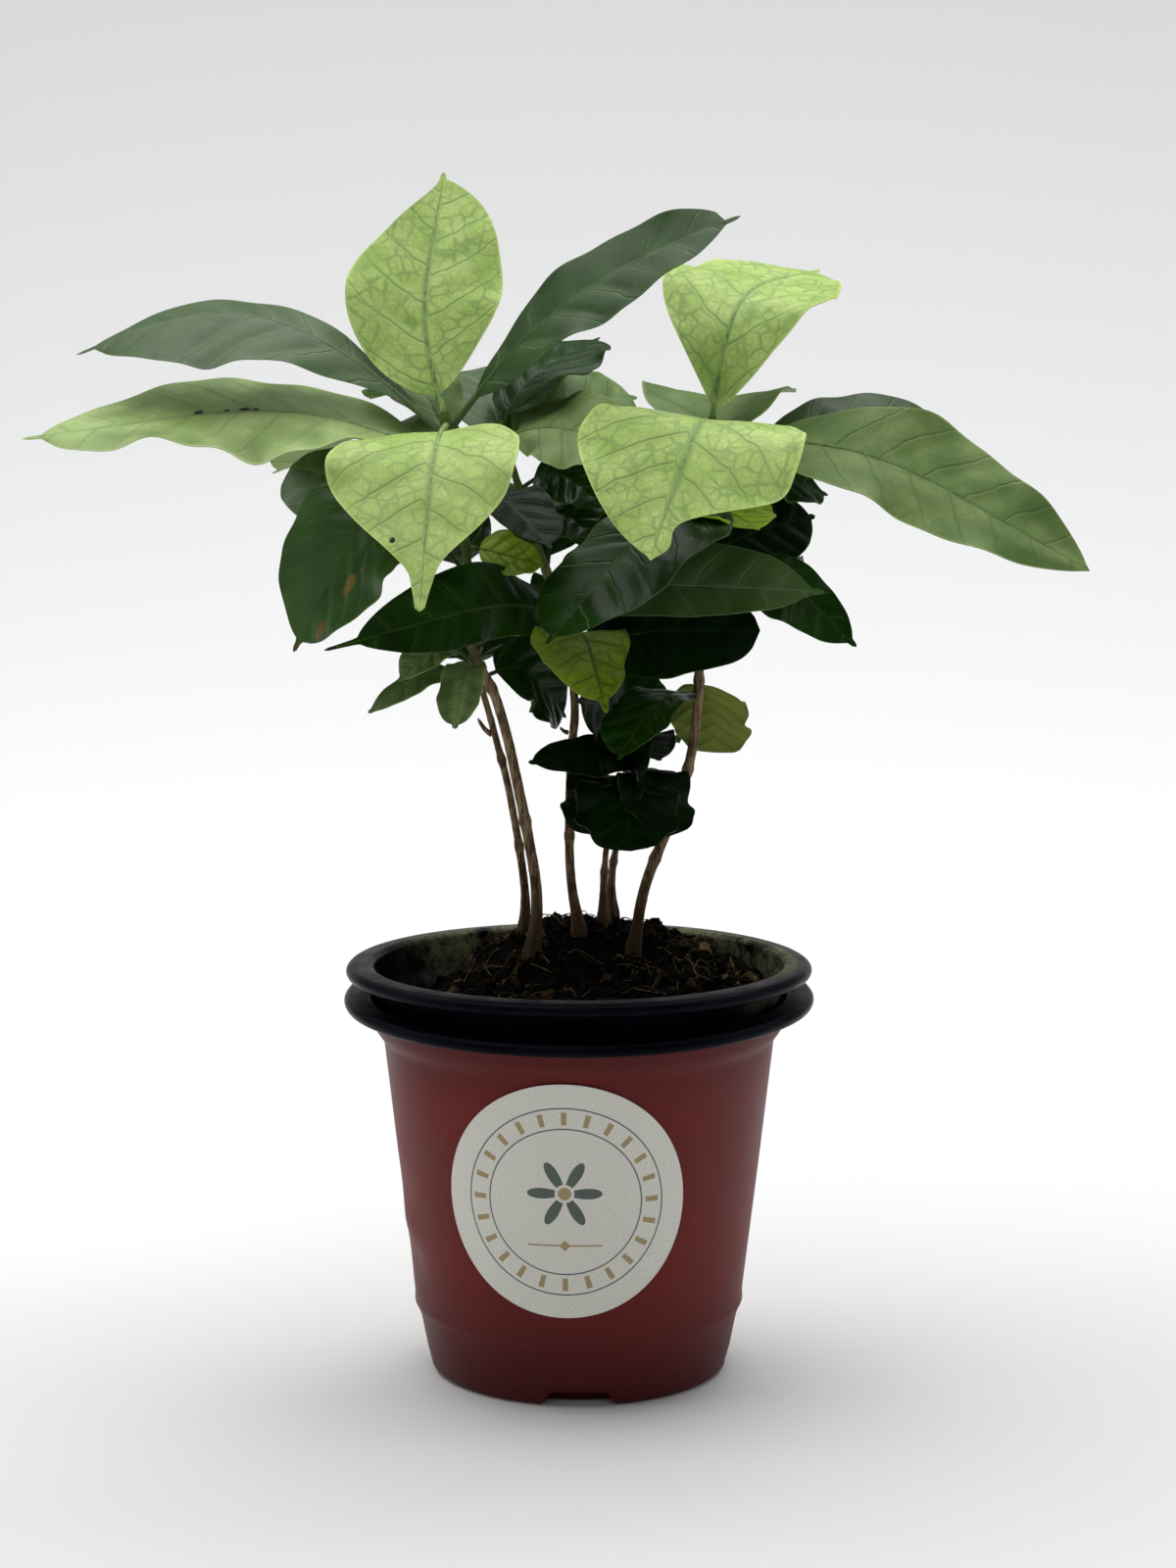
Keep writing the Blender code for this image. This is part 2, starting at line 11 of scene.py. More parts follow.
import bmesh
import bpy
import numpy as np
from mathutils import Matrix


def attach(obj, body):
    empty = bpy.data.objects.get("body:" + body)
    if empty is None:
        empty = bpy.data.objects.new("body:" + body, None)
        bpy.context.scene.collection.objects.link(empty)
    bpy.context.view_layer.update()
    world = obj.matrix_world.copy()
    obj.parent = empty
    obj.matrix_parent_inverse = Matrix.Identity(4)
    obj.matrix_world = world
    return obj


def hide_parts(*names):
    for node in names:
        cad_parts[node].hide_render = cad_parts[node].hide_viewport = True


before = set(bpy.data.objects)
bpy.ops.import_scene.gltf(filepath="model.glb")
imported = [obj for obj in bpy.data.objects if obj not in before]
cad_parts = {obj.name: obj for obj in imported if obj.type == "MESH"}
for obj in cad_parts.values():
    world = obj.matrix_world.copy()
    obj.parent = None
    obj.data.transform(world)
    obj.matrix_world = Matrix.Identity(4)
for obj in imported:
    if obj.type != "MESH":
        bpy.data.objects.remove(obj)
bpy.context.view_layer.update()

MM = 0.001
BODY = "root"

# Camera: about a metre away, a little above the plant
CAMERA_PLACE = (2.2, -1009.4, 327.0)
CAMERA_PITCH = 10.5  # degrees down
CAMERA_LENS = 101.25  # for a 36 mm sensor on the long side

# Light: a dim world, the backdrop that only the camera sees, and for each softbox its place, what
# it faces, its size and its watts
WORLD_COLOUR = (0.95, 0.98, 1.0, 1.0)
WORLD_STRENGTH = 0.09
BACKDROP_COLOUR = (0.78, 0.79, 0.8, 1.0)
SOFTBOXES = {
    "top_softbox": ((-60, 200, 1250), (0, 80, 0), (1500, 1000), 11.6),
    "back_softbox": ((0, 1300, 1900), (0, 1250, 0), (3200, 1300), 24.0),
    "left_softbox": ((-2600, 200, 900), (0, 0, 160), (2250, 2600), 15.6),
    "right_softbox": ((2600, 200, 900), (0, 0, 160), (2250, 2600), 13.4),
    "far_softbox": ((0, -3200, 1900), (0, -3200, 0), (5200, 1800), 24.0),
}

# Floor: level from its front edge to the bend, then rising on a wide curve
SWEEP_FRONT = -4200.0
SWEEP_HALF_WIDTH = 4200.0
SWEEP_BEND = 760.0
SWEEP_RADIUS = 3000.0
SWEEP_RISE = 55.0  # degrees of the curve
SWEEP_STEPS = 40

# Nursery pots
POT_SIDES = 192
WALL = 0.6
FLOOR = 1.0
FOOT_RADIUS = 35.2
STEP_RADIUS = 37.3
STEP_HEIGHT = 12.2
BULGE_RADIUS = 38.5
BULGE_HEIGHT = 16.5
SHOULDER_RADIUS = 45.7
SHOULDER_HEIGHT = 80.2
COLLAR_RADIUS = 47.8
COLLAR_HEIGHT = 83.0
LIP_RADIUS = 55.1
LIP_INNER_RADIUS = 48.9
LIP_UNDERSIDE = 87.8
LIP_TOP = 91.0
NEST_RISE = 6.9
NEST_SQUEEZE = 0.5
RIM_TILT = 2.3
TILT_FROM = 60.0
NOTCHES = 4
NOTCH_HALF_WIDTH = 9.0
NOTCH_HEIGHT = 3.5
NOTCH_FROM_RADIUS = 30.0
NOTCH_SHELL = 0.8  # between the top of a notch and the floor over it
FLOOR_HIGHEST = 4.4  # of the floor over a notch
BULGE_RIDGE = 0.4
WARP_RISE = (8.0, 60.0)  # heights between which the warp of the wall sets in
DENT_TURN = 196.0  # degrees round the pot from +X
DENT_DEPTH = 0.75

# Label
LABEL_RADIUS = 28.3
LABEL_CENTRE = (-3.1, 51.3)  # along the wall to the right, and up
LABEL_THICKNESS = 0.25
LABEL_RINGS = 24
LABEL_SIDES = 128
LABEL_LIFT = 0.3

# What is printed on the label
PRINT_RINGS = (22.6, 17.6)
PRINT_LINE = 0.14  # half width
TICK_RADIUS = 20.1
TICK_HALF_LENGTH = 1.5
TICK_COUNT = 24
PETALS = 6
PETAL_LENGTH = 8.6
PETAL_START = 2.2
ROSETTE_RISE = 2.0
CORE_RADIUS = 1.5
RULE_HEIGHT = -10.6
RULE_HALF_LENGTH = 8.4
DIAMOND_HALF = 1.3

# Potting mix
SOIL_LEVEL = 91.0
SOIL_MOUND = 11.0
SOIL_MOUND_CENTRE = (3.0, 25.0)
SOIL_MOUND_SPREAD = (20.0, 15.0)
SOIL_LEFT_DIP = 7.0
SOIL_RADIUS = 46.3
SOIL_BED = 84.0
SOIL_RINGS = 96
SOIL_SIDES = 256
SOIL_MIDDLE = 3.0  # x of the line that chips and strands keep away from
FIBRE_STATIONS = 10
BIT_COLOURS = {
    "crumb_dark": ((5, 4, 3), (18, 14, 11)),
    "chip_brown": ((40, 30, 20), (84, 62, 42)),
    "chip_tan": ((84, 70, 44), (122, 104, 72)),
}

# Stems: a few points on each centre line, foot first, and the radii at foot and top
STEM_SIDES = 20
STEM_STATION = 0.9
FOOT_FLARE = 0.9
FLARE_HEIGHT = 4.0
STEMS = {
    "left": ([(-11, 11, 96.6), (-10, 10, 112), (-14, 8, 137), (-19, 7, 158), (-25, 7, 172),
              (-26, 7, 192), (-31, 8, 226)], (1.35, 0.9)),
    "left_rear": ([(-13, 22, 99.2), (-13, 22, 111), (-16, 20, 132), (-20, 18, 149),
                   (-25, 16, 168)], (1.0, 0.7)),
    "middle": ([(0, 17, 101.5), (-2, 18, 116), (-2, 19, 140), (-1, 20, 157), (-5, 21, 178),
                (-12, 23, 200), (-19, 26, 222)], (1.1, 0.8)),
    "centre_front": ([(6, 24, 101.9), (6, 23, 112), (7, 20, 124), (10, 18, 138)], (0.8, 0.6)),
    "centre_rear": ([(8, 35, 101.5), (8, 34, 112), (10, 32, 124), (13, 29, 147)], (0.8, 0.6)),
    "right": ([(13, 13, 97.8), (16, 12, 114), (24, 12, 135), (28, 12, 156), (28, 11, 186),
               (29, 9, 208), (31, 8, 225)], (1.3, 0.9)),
}

# Broken twigs, a bud and a bare petiole: start, end and the radii there
TWIGS = [
    ((-20.6, 17.8, 148.6), (-23.8, 16.6, 152.6), (0.75, 0.4)),
    ((-24.4, 9.0, 168.6), (-22.4, 7.6, 171.2), (0.9, 0.35)),
    ((28.3, 10.4, 193.0), (31.4, 7.4, 199.6), (0.45, 0.3)),
    ((-2.6, 18.0, 149.0), (-4.4, 17.0, 150.4), (0.6, 0.3)),
]

# Leaf blades
BLADE_STATIONS = 76
BLADE_STRIPS = 28
BLADE_THICKNESS = 0.4
VEIN_SPACING = 10.5
PLAIN_CUT = (.42, 1.2)
RIB_SIDES = 10
RIB_STATIONS = 56

# Bake map: a band of the square for each leaf, with the petiole and midrib along its foot and the
# upper face and the underside next to each other above them
MAP_EDGE = 0.012
MAP_FACE_LENGTH = 0.474
MAP_UNDERSIDE_SHIFT = 0.502
MAP_FACE_BAND = (0.17, 0.96)
MAP_RIM = 0.006
MAP_RIB_LENGTH = 0.976
MAP_RIB_START = 0.02
MAP_RIB_WIDTH = 0.1


def leaf(node, tip, left, right=None, kind="dark", arch=8.0, bow=0.0, late_arch=0.0, roll=0.0,
         fold=10.0, tip_fold=None, wave=1.2, waves=17.0, phase=0.0, tail=(0.05, 1.7), stalk=3.5,
         scallop=0.0, dents=()):
    """One leaf: the height of its node, where its tip reaches and how each side is cut.

    left and right are (half width, station of the widest part, how pointed, and how pointed at the
    tip), or a half width alone for the plain cut. The midrib arches up and bows to its right,
    late_arch moves the arch toward the tip, roll turns the blade about its midrib and fold lifts
    its halves, in degrees. wave is how far its margins wave, with waves and phase for how often and
    where. tail is the drip tip as (part of the length, half width), stalk the petiole's length,
    scallop how deeply the margins are scalloped, and dents are bites as (side, station, depth,
    spread).
    """
    left, right = (side if isinstance(side, tuple) or side is None else (side, *PLAIN_CUT)
                   for side in (left, right))
    return {
        "node": node,
        "tip": np.array(tip, float),
        "left": left,
        "right": left if right is None else right,
        "kind": kind,
        "arch": arch,
        "bow": bow,
        "late_arch": late_arch,
        "roll": roll,
        "fold": fold,
        "tip_fold": fold if tip_fold is None else tip_fold,
        "wave": wave if isinstance(wave, tuple) else (wave, wave),
        "waves": waves,
        "phase": phase,
        "tail": tail,
        "stalk": stalk,
        "scallop": scallop,
        "dents": dents,
    }


# Foliage: what part of its stem each mass holds, and its leaves
FOLIAGE = {
    "left_low": ("left", (170, 206), [
        leaf(203, (-68.5, 38, 210), (15, .62, 1), (9, .6, 1), kind="grey", arch=1, roll=40, fold=4,
             wave=1, tail=(.01, 1)),
        leaf(200, (-66, 0, 171), (30, .5, 1.2), (23, .45, 1.2), kind="worn", arch=12, roll=20, fold=8,
             tail=(.06, 2.5)),
        leaf(203, (-6, -22, 198), (10, .5, 1), (12, .5, 1), kind="deep", arch=6, fold=12, wave=1),
        leaf(195, (-8, 8, 190), 8, kind="fresh", arch=0, roll=-30, fold=8, wave=.5),
        leaf(188, (-58, 52, 182), 18, arch=10, fold=12),
    ]),
    "left_top": ("left", (206, 226), [
        leaf(224, (-32, 46, 279), (18, .4, 1.6, 2.2), (18, .52, 1.35, 1.5), "light", arch=3, bow=-4.5,
             fold=8, wave=.8, tail=(.03, 1.6), stalk=6),
        leaf(223, (-35, -45, 187), (21, .4, 1.0, 2.3), (23.5, .44, 1.0, 2.4), "holed", arch=9, roll=-5,
             tail=(.14, 3.0), fold=8, stalk=9),
        leaf(220, (-117, 20, 238), (20, .64, 2.1), (9.5, .55, 1.2), kind="grey", arch=17.5,
             late_arch=-4, roll=22, fold=-6, stalk=8),
        leaf(214, (-127, -5, 221), (17.8, .47, 1.2), (21.8, .47, 1.2), kind="specked", arch=9, roll=18,
             fold=-3, wave=(4.0, 1), waves=13, phase=-1.27, stalk=6),
        leaf(221, (37, 4, 271), (11.5, .66, 1.3), (14.5, .5, 1.5), kind="green", arch=7.5,
             late_arch=-1, roll=-35, fold=6, stalk=10),
        leaf(219, (-50, 48, 225), 10, kind="olive", arch=8, roll=5, fold=12, wave=.8),
        leaf(210, (-75, 66, 205), 18, kind="olive", arch=10, fold=12),
    ]),
    "left_rear": ("left_rear", (152, 168), [
        leaf(166, (-28.5, -9, 154.5), (5, .5, .8), (5.5, .5, .8), kind="pale", arch=4, fold=8, wave=.6,
             scallop=.03, stalk=2),
        leaf(166, (-42, 8, 163), 6.5, kind="olive", arch=5, roll=20, fold=12, wave=.4),
        leaf(160, (-49, 4, 156), 4.5, kind="olive", arch=5, roll=20, fold=8, wave=.3),
        leaf(165, (-42, 28, 161), 6, arch=4, roll=10, fold=12, wave=.5),
        leaf(162, (-3, 27, 151), (12, .5, 1), (14, .55, .9), arch=6, roll=-45, fold=8,
             wave=1.5, scallop=.06),
        leaf(164, (-26, 50, 160), 11, arch=7, fold=12, wave=1),
    ]),
    "middle_low": ("middle", (158, 194), [
        leaf(176, (-57, -30, 176), (8.5, .5, 1.3), (10.5, .5, 1.4), arch=6, bow=-8,
             roll=60, fold=6, tail=(.12, 1)),
        leaf(168, (6.4, -22, 160.5), (9.5, .42, 1.1), (12.5, .5, .85), kind="fresh", arch=9, fold=6,
             scallop=.05, tail=(.1, 1.6)),
        leaf(182, (56, -14, 187), (12, .45, 1.3), (8.5, .45, 1.2), kind="grey", arch=2, bow=3,
             roll=-60, fold=6, wave=1),
        leaf(164, (42, 0, 176), (9.5, .55, 1), (11.5, .55, 1), kind="deep", arch=5, bow=5, roll=-65,
             fold=6, wave=1, tail=(.01, 1)),
        leaf(187, (0, 74, 192), 17, arch=12, fold=12),
        leaf(172, (12, 68, 168), 15, arch=8, fold=12),
    ]),
    "middle_top": ("middle", (194, 222), [
        leaf(220, (5, 45, 240), (14, .5, 1.2), (15, .55, 1), arch=4, fold=2),
        leaf(218, (16, 6, 215), (11, .45, 1.1), (12.5, .45, 1.2), kind="pale", arch=4, roll=-38,
             fold=8),
        leaf(216, (14, 52, 225), (9, .6, 1), kind="olive", arch=6, roll=-35, fold=4, wave=1),
        leaf(206, (6, 14, 203), 10, arch=5, roll=-30, fold=10, wave=1),
        leaf(198, (6, 10, 194), 9, arch=4, roll=-20, fold=10, wave=1),
        leaf(214, (-34, 84, 228), 17, kind="grey", arch=8, fold=12),
    ]),
    "centre_front": ("centre_front", (122, 138), [
        leaf(137, (4, -1, 128), (9.5, .5, .55), kind="deep", arch=6, fold=4, wave=1.6, waves=15,
             scallop=.04, tail=(.01, .5)),
        leaf(137.5, (21, 0, 127.5), (9.5, .5, .6), kind="deep", arch=7, fold=4, wave=1.6, waves=15,
             scallop=.04, tail=(.01, .5)),
        leaf(137.5, (17, -3, 150), (8, .5, .9), kind="deep", arch=1, roll=-80, fold=4, wave=1),
        leaf(136.5, (12, -9, 125.8), (12, .5, .55), kind="deep", arch=6, fold=2, wave=1.8, waves=15,
             scallop=.04, tail=(.01, .5)),
    ]),
    "centre_rear": ("centre_rear", (132, 147), [
        leaf(143, (-11.5, -6, 146), (8, .5, 1.2), (5.5, .5, 1.2), kind="deep", arch=1, bow=-4, roll=35,
             fold=6, wave=.8),
        leaf(145.5, (0, -2, 160), (10, .5, 1), kind="deep", arch=3, roll=85, fold=4, wave=1),
        leaf(145, (1, 20, 157), 8, kind="deep", arch=2, fold=10, wave=.8),
        leaf(146, (10, 40, 164), 9, arch=2, fold=10, wave=.8),
        leaf(142, (19, 8, 144), 7.5, kind="deep", arch=4, fold=10, wave=.6),
        leaf(138, (18, 56, 139), (10, .5, 1), arch=4, fold=8, wave=1, scallop=.06),
    ]),
    "right_low": ("right", (154, 206), [
        leaf(159, (9, -8, 147), 9, (11, .5, 1), arch=5, fold=6, wave=.8),
        leaf(162.5, (32, 20, 143.8), (10.3, .5, .65), kind="old", arch=2, fold=-4, wave=1, scallop=.04,
             tail=(.01, .5), stalk=2),
        leaf(184, (64, -5, 173), (6.5, .5, 1.2), (11.5, .45, 1.3), arch=9, roll=-38,
             fold=6, wave=1),
        leaf(190, (56, 30, 199), (8, .55, 1.1), (10, .5, 1.1), kind="deep", arch=2, roll=-55, fold=8,
             wave=1),
        leaf(176, (48, 68, 182), 17, arch=6, fold=12),
        leaf(201, (-5, -12, 181), 12, kind="deep", arch=4, roll=20, fold=6, wave=1),
        leaf(205, (-7.3, -30, 177.3), (19, .4, 1.1), (12, .6, 1), arch=6, bow=-3, roll=10,
             fold=6, wave=1),
    ]),
    "right_top": ("right", (206, 225), [
        leaf(223, (58, 60, 255), (22.5, .6, 1.9), (19, .52, 1.5), "light", arch=15.5, roll=-8, fold=8,
             tip_fold=0, stalk=2),
        leaf(222, (16, -42, 198), (27, .56, .85, 2.6), (24.5, .48, 1, 1.7), "light", arch=12, bow=-3.2,
             roll=6, fold=5, tail=(.01, 1.8), stalk=6, dents=(("left", .84, .85, .13),)),
        leaf(217, (93, 44, 215), (12.5, .5, 1.6), (15, .5, 1.6), kind="green", arch=3.5, late_arch=-4,
             bow=-2, roll=-22, fold=6, stalk=13),
        leaf(218, (117, -8, 191), (16, .47, 1.5), (14.5, .43, 1.4), kind="olive", arch=9, roll=-42,
             fold=4, wave=1.5, stalk=13, tail=(.01, 2)),
        leaf(209, (59, 30, 204), 9, (10, .5, 1.2), arch=4, roll=-40, fold=8, wave=.8),
        leaf(208, (41, -12, 201), 11, kind="fresh", arch=-1, fold=6, wave=.8),
        leaf(211, (38, 82, 220), 18, kind="olive", arch=10, fold=10, stalk=13),
    ]),
}


def srgb(red, green, blue):
    """Linear colour from display values of 0 to 255."""
    def linear(value):
        value /= 255
        return value / 12.92 if value < 0.04 else ((value + 0.055) / 1.055) ** 2.4
    return (linear(red), linear(green), linear(blue), 1.0)


# Leaf colouring by kind: display colours of the blade, its mottling, veins and margin, how strongly
# side veins and net show, roughness, gloss, and how far the blade puffs up between its veins
Colouring = namedtuple("Colouring", "blade mottle vein margin side net roughness gloss puff")
KIND_ROWS = {
    "light": ((202, 228, 134), (176, 208, 104), (106, 140, 86), (208, 232, 136), .6, .55, .5, .15, .5),
    "holed": ((198, 222, 132), (176, 206, 106), (114, 146, 90), (206, 230, 136), .6, .5, .5, .15, .5),
    # specked: a leaf with dark specks, its blade painted lighter than its own colour as painted light on
    # a side that faces away from the softboxes
    "specked": ((188, 212, 140), (160, 188, 110), (128, 154, 100), (198, 218, 152), .5, .25, .5, .18, .5),
    "pale": ((168, 190, 124), (146, 172, 104), (108, 134, 84), (176, 196, 132), .5, .25, .5, .18, .5),
    "olive": ((136, 160, 96), (110, 138, 74), (82, 110, 60), (148, 170, 104), .5, .25, .48, .2, .5),
    "grey": ((76, 100, 60), (58, 86, 46), (108, 130, 88), (96, 118, 80), .5, .1, .42, .25, .7),
    "green": ((46, 78, 28), (34, 62, 19), (84, 112, 60), (76, 104, 54), .5, .1, .42, .22, .7),
    "dark": ((24, 62, 6), (15, 44, 4), (54, 84, 28), (56, 86, 26), .5, .1, .28, .12, .9),
    "worn": ((42, 84, 6), (28, 64, 4), (60, 92, 30), (64, 88, 26), .5, .1, .34, .17, .9),
    # deep: dark green leaves low in the plant, their colour painted darker still for the shade they stand
    # in
    "deep": ((7, 32, 3), (4, 22, 2), (20, 46, 12), (40, 62, 16), .5, .1, .4, .08, .7),
    "fresh": ((144, 178, 32), (166, 190, 52), (44, 74, 18), (134, 158, 46), .75, .5, .46, .15, .5),
    "old": ((146, 162, 74), (168, 172, 92), (82, 100, 40), (100, 76, 44), .5, .35, .6, .12, .5),
}
COLOURING = {kind: Colouring(*[srgb(*colour) for colour in row[:4]], *row[4:])
             for kind, row in KIND_ROWS.items()}
# Painted light and shade: on these kinds, patches of a saturated darker green toward the drooping margins
# stand in for the shade there and for light shining through the blade
SAG_SHADE_AND_GLOW_KINDS = ("specked", "pale", "olive", "grey")
SAG_SHADE_AND_GLOW_COLOUR = srgb(66, 98, 36)
PALE_UNDERSIDE = srgb(112, 136, 76)

# Holes, specks, spots and a burnt tip by kind: how far along the leaf and across it from the
# midrib, the radius and the display colour
MARKS = {
    "holed": [((47.0, 7.5), 0.7, (26, 28, 16))],
    "specked": [((59.0, 1.2), 1.1, (30, 28, 20)), ((52.5, 0.8), 0.7, (36, 32, 22)),
                ((48.5, 1.0), 1.3, (30, 28, 20)), ((46.0, 0.8), 0.8, (36, 32, 22))],
    "worn": [((31.0, -13.0), 2.6, (112, 96, 26)), ((42.0, -10.0), 2.0, (106, 90, 24)),
             ((26.0, -15.0), 1.2, (100, 88, 30)), ((51.5, 0.0), 4.5, (92, 62, 34))],
}


# Mesh helpers


def smooth_step(value, start, end):
    part = np.clip((value - start) / (end - start), 0.0, 1.0)
    return part * part * (3 - 2 * part)


def unit(vectors):
    return vectors / np.maximum(np.linalg.norm(vectors, axis=-1, keepdims=True), 1e-12)


def pack(*values):
    """Points from their coordinates, or faces from their corners."""
    return np.stack(values, axis=-1)


def turns_round(sides):
    """Angles at even steps round a circle."""
    return np.arange(sides) * math.tau / sides


def value_noise(x, y, seed):
    """A smooth random field from -1 to 1, one cell to a unit."""
    table = np.random.default_rng(seed).uniform(-1, 1, (64, 64))
    column = np.floor(x).astype(int)
    row = np.floor(y).astype(int)
    u = smooth_step(x - column, 0, 1)
    v = smooth_step(y - row, 0, 1)

    def level(index):
        return table[column % 64, index % 64] * (1 - u) + table[(column + 1) % 64, index % 64] * u

    return level(row) * (1 - v) + level(row + 1) * v


def grid_faces(rows, columns, closed=False):
    """Quads of a grid's points, as indices; closed joins the last column to the first."""
    last = columns if closed else columns - 1
    row, column = np.meshgrid(np.arange(rows - 1), np.arange(last), indexing="ij")
    following = (column + 1) % columns
    corners = [row * columns + column, (row + 1) * columns + column,
               (row + 1) * columns + following, row * columns + following]
    return pack(*[corner.ravel() for corner in corners])


def fan(middle, first, sides, flip=False):
    """Triangles between one point and a ring of points, as indices."""
    around = first + np.arange(sides)
    following = first + (np.arange(sides) + 1) % sides
    ends = (following, around) if flip else (around, following)
    return pack(np.full(sides, middle), *ends)


def tube(points, right, up, radii, sides):
    """Rings round a line of points, closed at both ends: the points, the quads and the caps."""
    turn = turns_round(sides)[:, None]
    ring = right[:, None] * np.cos(turn) + up[:, None] * np.sin(turn)
    radii = radii[:, None] if radii.ndim == 1 else radii
    rings = points[:, None] + ring * radii[..., None]
    ends = np.stack([points[0], points[-1]])
    quads = grid_faces(len(points), sides, closed=True)
    total = len(points) * sides
    caps = [fan(total, 0, sides), fan(total + 1, total - sides, sides, flip=True)]
    return np.concatenate([rings.reshape(-1, 3), ends]), quads, np.concatenate(caps)


class Piece:
    """Grids, tubes and lumps gathered into one mesh object."""

    def __init__(self, name, layers=()):
        self.name = name
        self.points = []
        self.faces = []
        self.slots = []
        self.maps = {layer: [] for layer in layers}
        self.count = 0

    def add(self, points, faces, slot=0, maps=None):
        """Points in mm, faces as indices into them, maps as corner coordinates for each layer."""
        self.points.append(points.reshape(-1, 3))
        self.faces.append(faces + self.count)
        self.slots.append(np.full(len(faces), slot))
        self.count += len(self.points[-1])
        for layer, corners in self.maps.items():
            given = (maps or {}).get(layer)
            corners.append(np.zeros((faces.size, 2)) if given is None else given.reshape(-1, 2))

    def add_faces(self, faces, slot=0, maps=None):
        """More faces between points that are already there."""
        self.add(np.zeros((0, 3)), faces - self.count, slot, maps)

    def add_tube(self, line, right, up, radii, sides, slot=0):
        points, quads, caps = tube(line, right, up, radii, sides)
        self.add(points, quads, slot)
        self.add_faces(caps + self.count - len(points), slot)

    def build(self, materials, slot, *replaced, angle=60):
        mesh = bpy.data.meshes.new(self.name)
        rows = [row for block in self.faces for row in block.tolist()]
        mesh.from_pydata((np.concatenate(self.points) * MM).tolist(), [], rows)
        for material in materials:
            mesh.materials.append(material)
        mesh.polygons.foreach_set("material_index", np.concatenate(self.slots).astype(np.int32))
        for layer, corners in self.maps.items():
            made = mesh.uv_layers.new(name=layer)
            made.uv.foreach_set("vector", np.concatenate(corners).astype(np.float32).ravel())
        mesh.shade_smooth()
        mesh.set_sharp_from_angle(angle=math.radians(angle))
        mesh.update()
        obj = bpy.data.objects.new(self.name, mesh)
        bpy.context.scene.collection.objects.link(obj)
        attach(obj, BODY)
        if replaced:
            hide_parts(*replaced)
        return obj


# Materials


class Look:
    """A material under construction: a Principled shader and the nodes that feed it."""

    def __init__(self, name, roughness=0.5, colour=None, specular=0.5):
        self.material = bpy.data.materials.new(name)
        self.material.use_nodes = True
        self.tree = self.material.node_tree
        self.shader = self.tree.nodes["Principled BSDF"]
        self.shader.inputs["Roughness"].default_value = roughness
        self.shader.inputs["Specular IOR Level"].default_value = specular
        if colour is not None:
            self.shader.inputs["Base Color"].default_value = colour

    def node(self, kind, values=None, **settings):
        made = self.tree.nodes.new("ShaderNode" + kind)
        for name, value in settings.items():
            setattr(made, name, value)
        for name, value in (values or {}).items():
            self.plug(made.inputs[name], value)
        return made

    def plug(self, socket, value):
        if isinstance(value, bpy.types.NodeSocket):
            self.tree.links.new(value, socket)
        else:
            socket.default_value = value

    def uv(self, name):
        return self.node("UVMap", uv_map=name).outputs[0]

    def place(self):
        """Where on the object a point is, in metres."""
        return self.node("TexCoord").outputs["Object"]

    def parts(self, vector):
        return self.node("SeparateXYZ", {0: vector}).outputs

    def noise(self, vector, scale, detail=3.0, roughness=0.55):
        values = {"Vector": vector, "Scale": scale, "Detail": detail, "Roughness": roughness}
        return self.node("TexNoise", values).outputs[0]

    def wobble(self, vector, scale, amount):
        """The vector, moved about by a noise."""
        values = {"Vector": vector, "Scale": scale, "Detail": 2.0}
        shift = self.node("TexNoise", values).outputs["Color"]
        centred = self.vectors("SUBTRACT", shift, (0.5, 0.5, 0.5))
        scaled = self.node("VectorMath", {0: centred, "Scale": amount}, operation="SCALE").outputs[0]
        return self.vectors("ADD", vector, scaled)

    def length(self, vector):
        return self.node("VectorMath", {0: vector}, operation="LENGTH").outputs["Value"]

    def vectors(self, operation, first, second):
        return self.node("VectorMath", {0: first, 1: second}, operation=operation).outputs[0]

    def stretched(self, vector, factors):
        return self.vectors("MULTIPLY", vector, factors)

    def cell_edges(self, vector, scale):
        cells = self.node("TexVoronoi", {"Vector": vector, "Scale": scale}, feature="DISTANCE_TO_EDGE")
        return cells.outputs["Distance"]

    def ramp(self, value, low, high, start=0.0, end=1.0):
        values = {"Value": value, "From Min": low, "From Max": high, "To Min": start, "To Max": end}
        return self.node("MapRange", values, interpolation_type="SMOOTHSTEP").outputs[0]

    def math(self, operation, first, second=0.0):
        return self.node("Math", {0: first, 1: second}, operation=operation).outputs[0]

    def times(self, first, second):
        return self.math("MULTIPLY", first, second)

    def plus(self, first, second):
        return self.math("ADD", first, second)

    def less(self, first, second):
        return self.math("SUBTRACT", first, second)

    def absolute(self, value):
        return self.math("ABSOLUTE", value)

    def most(self, *values):
        result = values[0]
        for value in values[1:]:
            result = self.math("MAXIMUM", result, value)
        return result

    def mix(self, factor, first, second):
        return self.node("Mix", {0: factor, 6: first, 7: second}, data_type="RGBA").outputs[2]

    def finish(self, colour=None, roughness=None, height=None, depth=0.0003, strength=1.0):
        """Plugs in the colour, the roughness and a bump of this depth in metres."""
        if colour is not None:
            self.plug(self.shader.inputs["Base Color"], colour)
        if roughness is not None:
            self.plug(self.shader.inputs["Roughness"], roughness)
        if height is not None:
            bump = self.node("Bump", {"Strength": strength, "Distance": depth, "Height": height})
            self.plug(self.shader.inputs["Normal"], bump.outputs[0])
        return self.material


